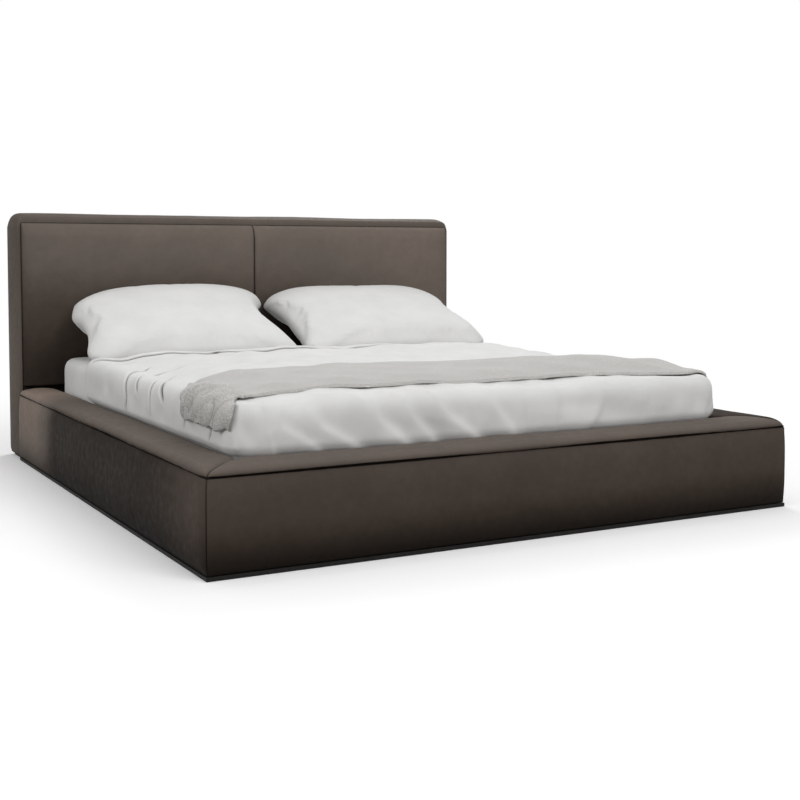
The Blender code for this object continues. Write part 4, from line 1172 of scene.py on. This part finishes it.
def turn_line(across):
    """Place along the bed of the front of the duvet's turned-over strip."""
    wave = 0.0014 * np.sin(across * 7.0 + 0.6) + 0.0006 * np.sin(across * 19.0)
    return duvet_head_y - duvet_turn_width + wave


def turn_fade(across):
    """How full the turned-over strip is: it flattens to the right and ends on the left side."""
    down_side = 1.0 - ease((-across - core_half_width - 0.005) / 0.05)
    left_end = ease((across + core_half_width + core_arc + 0.012) / 0.014)
    return down_side * (1.0 - 0.85 * ease((across - 0.05) / 0.40)) * left_end


def duvet_turn(across, along):
    """The turned-over strip at the duvet's head edge: a rounded step with a narrow gap in front."""
    from_line = along - turn_line(across)
    rise = 0.55 * rounded(np.clip(from_line / 0.006, 0.0, 1.0)) + 0.45 * np.clip(from_line / 0.024, 0.0, 1.0)
    step = duvet_turn_height * rise
    slot = 0.008 * np.exp(-((from_line + 0.001) / 0.0030) ** 2)
    front_dip = 0.005 * np.exp(-((from_line + 0.020) / 0.020) ** 2)
    return turn_fade(across) * (step - slot - front_dip)


def duvet_painted_shade(across, along):
    """Painted shade on the duvet: in its creases, in the gap in front of the turned-over strip, a shadow spot
    at that gap and a line where it tucks in by the rail.
    """
    painted_shade = np.zeros(np.shape(across))
    for line, width, depth in duvet_creases:
        valley = crease(across, along, line, 0.75 * width, 1.0, 0.0)
        painted_shade = np.maximum(painted_shade, np.clip(-valley, 0.0, 1.0) * depth / 0.0050)
    from_line = along - turn_line(across)
    slot = np.exp(-((from_line - 0.0006) / 0.0020) ** 2) * turn_fade(across)
    # Painted shadow spot at the gap.
    shadow_spot = np.exp(-np.hypot((across + 0.385) / 0.022, (from_line - 0.002) / 0.006) ** 2)
    over = np.maximum(*past_edges(across, along)) - core_arc
    # Painted shade along the line where the duvet tucks in by the rail.
    tucked = 0.55 * np.exp(-((over - rail_drop - 0.009) / 0.0045) ** 2)
    return np.clip(np.maximum.reduce([painted_shade, slot, shadow_spot, tucked]), 0.0, 1.0)


def duvet_surface(across, along):
    """Outer face of the duvet over its inner face, with folds, creases and uneven filling."""
    lift = duvet_lift(across, along)
    for line, width, depth in duvet_creases:
        lift = lift + crease(across, along, line, width, depth, 0.25)
    for line, width, depth in duvet_folds:
        lift = lift + pleat(across, along, line, width, fold_height_share * depth)
    lift = lift + duvet_turn(across, along)
    under = ease((np.maximum(*past_edges(across, along)) - core_arc) / 0.10)
    filling = duvet_filling * soft_noise(across, along, 0.0, 0.26, 101)
    filling += duvet_ripple * soft_noise(across, along, 0.0, 0.09, 102)
    lift = lift + filling * (1.0 - 0.7 * under)
    return np.maximum(lift, 0.005)


def places_between(stops):
    """Places along a line, at the step given for each stretch of it."""
    places = [stops[0][0]]
    for (start, step), (end, _step) in zip(stops[:-1], stops[1:]):
        count = max(1, round((end - start) / step))
        places += list(np.linspace(start, end, count + 1)[1:])
    return np.array(places)


def add_duvet():
    """Duvet over the mattress, tucked in at the sides and the foot, its head edge folded."""
    drop = core_z - duvet_hem_z
    reach = core_half_width + core_arc + drop
    low = core_foot_y - core_arc - drop
    head = duvet_head_y - 0.006 * (1.0 - np.cos(np.linspace(math.pi / 2, 0.0, 8)))
    x = places_between(((-reach, 0.008), (-0.93, 0.0035), (-0.56, 0.008), (reach, 0.008)))
    y = places_between((
        (low, 0.008), (-0.90, 0.006), (-0.42, 0.004), (0.17, 0.006), (0.325, 0.0016), (head[0], 0.0016),
    ))
    across, along = np.meshgrid(x, np.concatenate([y, head[1:]]))
    lift = duvet_surface(across, along) * (0.25 + 0.75 * rounded((duvet_head_y - along) / 0.006))
    # Painted shade on the duvet, stored with its seam values.
    painted_shade = duvet_painted_shade(across, along)
    flap = ease((-across - core_half_width - 0.010) / 0.030) * ease((0.935 + across) / 0.02)
    along = along + duvet_flap_reach * flap * ease((along - 0.27) / 0.08)
    outer = cover_point(across, along, lift)
    inner = cover_point(across, along, np.zeros_like(lift))
    flat = np.stack([across, along], axis=-1)
    made = sheet_piece(
        "duvet_cover", outer, inner, duvet_cotton, "duvet", flat=flat, seam=painted_shade,
    )
    return stands_in(made, "duvet")


def throw_hanging(across):
    """Share by which the throw hangs down the left side: 0 on top of the bed."""
    return ease((-across - core_half_width + 0.035) / 0.05)


def throw_grid(across, row_share, lift):
    """Points on the throw for places across the bed and shares from its front to its rear."""
    place = across / core_half_width
    spread = duvet_length_on_top * throw_end_spread_share * ease((-place - 0.99) / 0.10)
    front = np.maximum(throw_front_at(place) - spread, core_foot_y - core_radius)
    along = front + (throw_rear_at(place) - front) * row_share
    edge = ease(row_share / 0.15) * ease((1.0 - row_share) / 0.15)
    wave = 0.5 + 0.5 * np.sin(2.0 * math.pi * (across + along) / throw_fold_pitch)
    bunch = ease(place / 0.5) * np.sin(math.pi * row_share) ** 2
    left_bunch = np.exp(-((place + 0.88) / 0.13) ** 2) * np.sin(math.pi * row_share ** 1.6) ** 2
    total = duvet_lift(across, along) + throw_seat_clearance + throw_fold_height * wave * edge + lift
    total = total + throw_bunch_height * (bunch + 0.9 * left_bunch)
    hanging = throw_hanging(across)
    rib = np.abs(np.sin(math.pi * along / throw_hem_wave_pitch))
    hem = -throw_hem_wave * rib * ease((-across - core_half_width) / 0.06)
    crinkle = throw_crinkle * np.abs(soft_noise(across * 0.7, along, 0.0, 0.042, 111)) * hanging
    crinkle += 0.0030 * (1.0 - rib) * hanging + 0.0008 * (1.0 + soft_noise(across, along, 0.0, 0.12, 112))
    point = cover_point(across + hem, along, total + np.clip(crinkle, 0.0, throw_crinkle_most))
    return point, np.stack(np.broadcast_arrays(across + hem, along), axis=-1)


def add_throw():
    """Knitted throw across the foot end, its left end hanging down the side."""
    left = core_half_width
    hem = left + core_arc + throw_hang
    x = places_between(((-hem, 0.003), (-left + 0.03, 0.006), (left + 0.62 * core_arc, 0.006)))
    across, rows = np.meshgrid(x, np.linspace(0.0, 1.0, 150))
    edge = np.minimum(np.minimum(rows, 1.0 - rows) * 0.5, np.minimum(x[-1] - across, across - x[0]))
    hanging = throw_hanging(across)
    thick = throw_thickness * (0.25 + 0.75 * rounded(edge / 0.006)) * (1.0 - 0.45 * hanging)
    outer, flat = throw_grid(across, rows, thick)
    inner, _flat = throw_grid(across, rows, np.zeros_like(thick))
    # Painted shade on the hanging end: dark lines in its crinkles, finer dark lines and darker edges.
    crinkle_shade_field = np.abs(soft_noise(across * 0.7, flat[..., 1], 0.0, 0.042, 111))
    fine_crinkle_shade_field = np.abs(soft_noise(across, flat[..., 1], 0.0, 0.019, 113))
    painted_shade = hanging * np.maximum.reduce([
        0.95 * np.clip(1.0 - crinkle_shade_field / 0.13, 0.0, 1.0), 0.50 * np.clip(1.0 - fine_crinkle_shade_field / 0.12, 0.0, 1.0),
        0.55 * (1.0 - ease(edge / 0.004)),
    ])
    made = sheet_piece("throw_knitted", outer, inner, knit, "throw", flat=flat, seam=painted_shade)
    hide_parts("throw")
    up, right = outer[1:, :-1] - outer[:-1, :-1], outer[:-1, 1:] - outer[:-1, :-1]
    area = float(np.sum(np.linalg.norm(np.cross(up, right), axis=-1)))
    return made


# Pillows

def pillow_points(centre_x, side, tilt, pulls, full, across, along, face):
    """Points on a pillow that leans on the headboard, face 1 above and -1 below."""
    to_outside = side * across
    at_outside = full * ease((to_outside - 0.5) / 0.4)
    side_pull = pulls[0] + (pulls[1] - pulls[0]) * ease((across + 1.0) / 2.0)
    corner_x = pillow_corner_round * np.abs(along) ** 18
    corner_y = pillow_corner_round * np.abs(across) ** 14
    half_x = pillow_width / 2 - side_pull * (1.0 - along ** 2) - corner_x
    half_y = pillow_length / 2 - pillow_end_pull * (1.0 - across ** 2) - corner_y
    forward = pillow_length / 2 + half_y * along
    thin = (1.0 - across ** 4) ** 0.5 * (1.0 - np.abs(along) ** 3) ** 0.5
    out = face * (pillow_seam_thickness + (pillow_thickness - pillow_seam_thickness) * thin) / 2
    reach = pillow_corner_reach * ease((to_outside - 0.45) / 0.5) * ease((-along - 0.1) / 0.8)
    reach = reach - full * pillow_inner_reach * ease((-to_outside - 0.55) / 0.4) * ease((along - 0.2) / 0.6)
    bulge = pillow_outer_bulge * np.exp(-((along - 0.55) / 0.28) ** 2) - 0.022 * ease((along - 0.25) / 0.5)
    x = centre_x + half_x * across + side * (reach + bulge * at_outside)
    y = duvet_head_y + pillow_duvet_gap + forward * math.cos(tilt) - out * math.sin(tilt)
    z = sheet_top + pillow_edge_lift + forward * math.sin(tilt) + out * math.cos(tilt)
    above = np.maximum(0.0, along)
    droop = pillow_corner_droop * np.abs(across) ** 5 + pillow_top_droop * across ** 2
    droop = droop + full * pillow_inner_droop * np.maximum(0.0, -to_outside) ** 2
    outer_droop = full * pillow_outer_droop * np.maximum(0.0, to_outside) ** 1.6
    z = z - droop * above ** 2 - outer_droop * above ** 1.2
    y = np.minimum(y, crown_y - pillow_back_clearance)
    return np.stack([x, y, np.maximum(z, sheet_top + pillow_seat_clearance)], axis=-1)


def add_pillow(side_name, side, tilt_degrees, pulls, full):
    """One pillow, flat where it rests on the sheet and where it leans on the headboard."""
    overhang = pillow_left_inset if side < 0 else pillow_right_overhang
    outer_x = mattress_shift + side * mattress_width / 2 + overhang
    form = (outer_x - side * pillow_width / 2, side, math.radians(tilt_degrees), pulls, full)
    x = np.sin(math.pi / 2 * np.linspace(-1.0, 1.0, 110))
    y = np.sin(math.pi / 2 * np.linspace(-1.0, 1.0, 90))
    place = np.meshgrid(x, y)
    points, faces = closed_sheet(pillow_points(*form, *place, 1.0), pillow_points(*form, *place, -1.0))
    points, faces = puffed(points, faces)
    front_y = duvet_head_y + pillow_duvet_gap - 0.012
    back_y = crown_y - pillow_back_clearance
    rear_y = points[:, 1].max()
    points[:, 1] += max(0.0, back_y + 0.002 - rear_y) * ease((points[:, 1] - rear_y + 0.15) / 0.15)
    points[:, 1] = np.clip(points[:, 1], front_y, back_y)
    points[:, 2] = np.maximum(points[:, 2], sheet_top + pillow_seat_clearance)
    inner_edge = side * outer_x - pillow_width - 0.003
    points[:, 0] = side * np.maximum(side * points[:, 0], inner_edge)
    node = f"pillow_{side_name}"
    made = add_piece(f"{node}_case", points, faces, pillow_cotton, node)
    smooth_once(made)
    return stands_in(made, node)


# Floor, light and camera

floor_glow = 0.10
world_light = 0.60
white_starts = 2.0
white_ends = 3.6


def add_stage():
    """Plain pale floor and a world that both look white to the camera."""
    mesh = bpy.data.meshes.new("floor")
    mesh.from_pydata([(-14, -14, 0), (14, -14, 0), (14, 14, 0), (-14, 14, 0)], [], [(0, 1, 2, 3)])
    floor = bpy.data.objects.new("floor", mesh)
    bpy.context.scene.collection.objects.link(floor)
    made = new_finish("floor_pale")
    path = made.node("LightPath").outputs
    seen = made.calc("MAXIMUM", path["Is Camera Ray"], path["Is Glossy Ray"])
    seen = made.calc("MAXIMUM", seen, path["Is Transmission Ray"])
    faint = made.noise(made.place(), 1.4, 3.0, 0.5)
    shade = made.mix(faint, (0.20, 0.195, 0.19), (0.24, 0.235, 0.23))
    white = made.mix(faint, (0.955, 0.955, 0.955), (0.975, 0.975, 0.975))
    made.done(made.mix(seen, shade, white), 0.95, Specular_IOR_Level=0.0)
    plain = made.shader.outputs["BSDF"]
    glow = made.node("Emission", {"Strength": floor_glow}).outputs["Emission"]
    lifted = made.node("AddShader", {0: plain, 1: glow}).outputs["Shader"]
    near = made.node("MixShader", {"Fac": seen, 1: plain, 2: lifted}).outputs["Shader"]
    distance = made.node("VectorMath", {0: made.place()}, operation="LENGTH").outputs["Value"]
    share = made.calc("MULTIPLY", made.ramp(distance, white_starts, white_ends), seen)
    backdrop = made.node("Emission").outputs["Emission"]
    far = made.node("MixShader", {"Fac": share, 1: near, 2: backdrop}).outputs["Shader"]
    made.feed(made.tree.nodes["Material Output"].inputs["Surface"], far)
    mesh.materials.append(made.owner)
    floor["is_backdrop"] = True
    world = bpy.data.worlds.new("studio")
    bpy.context.scene.world = world
    made = Finish(world)
    path = made.node("LightPath").outputs
    seen = made.calc("MAXIMUM", path["Is Camera Ray"], path["Is Transmission Ray"])
    background = made.tree.nodes["Background"].inputs
    made.feed(background["Color"], (1.0, 1.0, 1.0))
    made.feed(background["Strength"], made.ramp(seen, 0.0, 1.0, world_light, 1.0))


def add_lamp(name, place, target, size, power):
    """Soft square lamp that points at a target."""
    lamp = bpy.data.lights.new(name, "AREA")
    lamp.shape = "RECTANGLE"
    lamp.size, lamp.size_y = size
    lamp.energy = power
    made = bpy.data.objects.new(name, lamp)
    made.location = place
    made.rotation_euler = (Vector(target) - Vector(place)).to_track_quat("-Z", "Y").to_euler()
    made.visible_camera = False
    bpy.context.scene.collection.objects.link(made)


camera_lens = 56.745
camera_shift = -0.1004
camera_place = (-2.0668, -4.1209, 0.8225)
camera_turn = (87.0, 0.0, -28.79)


def add_camera():
    """Camera at the photograph's viewing angle."""
    lens = bpy.data.cameras.new("camera")
    lens.sensor_width = 36.0
    lens.lens = camera_lens
    lens.shift_y = camera_shift
    made = bpy.data.objects.new("camera", lens)
    made.location = camera_place
    made.rotation_euler = [math.radians(angle) for angle in camera_turn]
    bpy.context.scene.collection.objects.link(made)
    bpy.context.scene.camera = made


add_camera()
dress_kept_nodes()
add_side_rail("left", -1)
add_side_rail("right", 1)
add_foot_rail()
add_border()
add_pad("left", -1)
add_pad("right", 1)
add_lower_cover()
add_mattress()
add_fitted_sheet()
add_duvet()
add_throw()
add_pillow("left", -1, 24.8, (-0.004, 0.066), 1.0)
add_pillow("right", 1, 22.8, (0.020, 0.0), 0.0)
add_stage()
add_lamp("lamp_front", (0.6, -4.8, 3.4), (0.0, -0.2, 0.3), (3.0, 3.0), 92.0)
add_lamp("lamp_left", (-4.6, -1.6, 2.2), (-0.6, -0.2, 0.4), (2.0, 2.0), 46.0)
add_lamp("lamp_back", (2.2, 3.4, 3.6), (0.0, -0.8, 0.2), (2.0, 2.0), 75.0)
add_lamp("lamp_board", (0.1, -0.6, 2.3), (0.0, 1.0, 0.95), (1.8, 0.5), 5.0)
bpy.context.scene.view_settings.view_transform = "Standard"

visual_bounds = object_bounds()
boxes = {"cad": cad_bounds, "visual": visual_bounds}
{name: [[float(v) for v in corner] for corner in box] for name, box in boxes.items()}
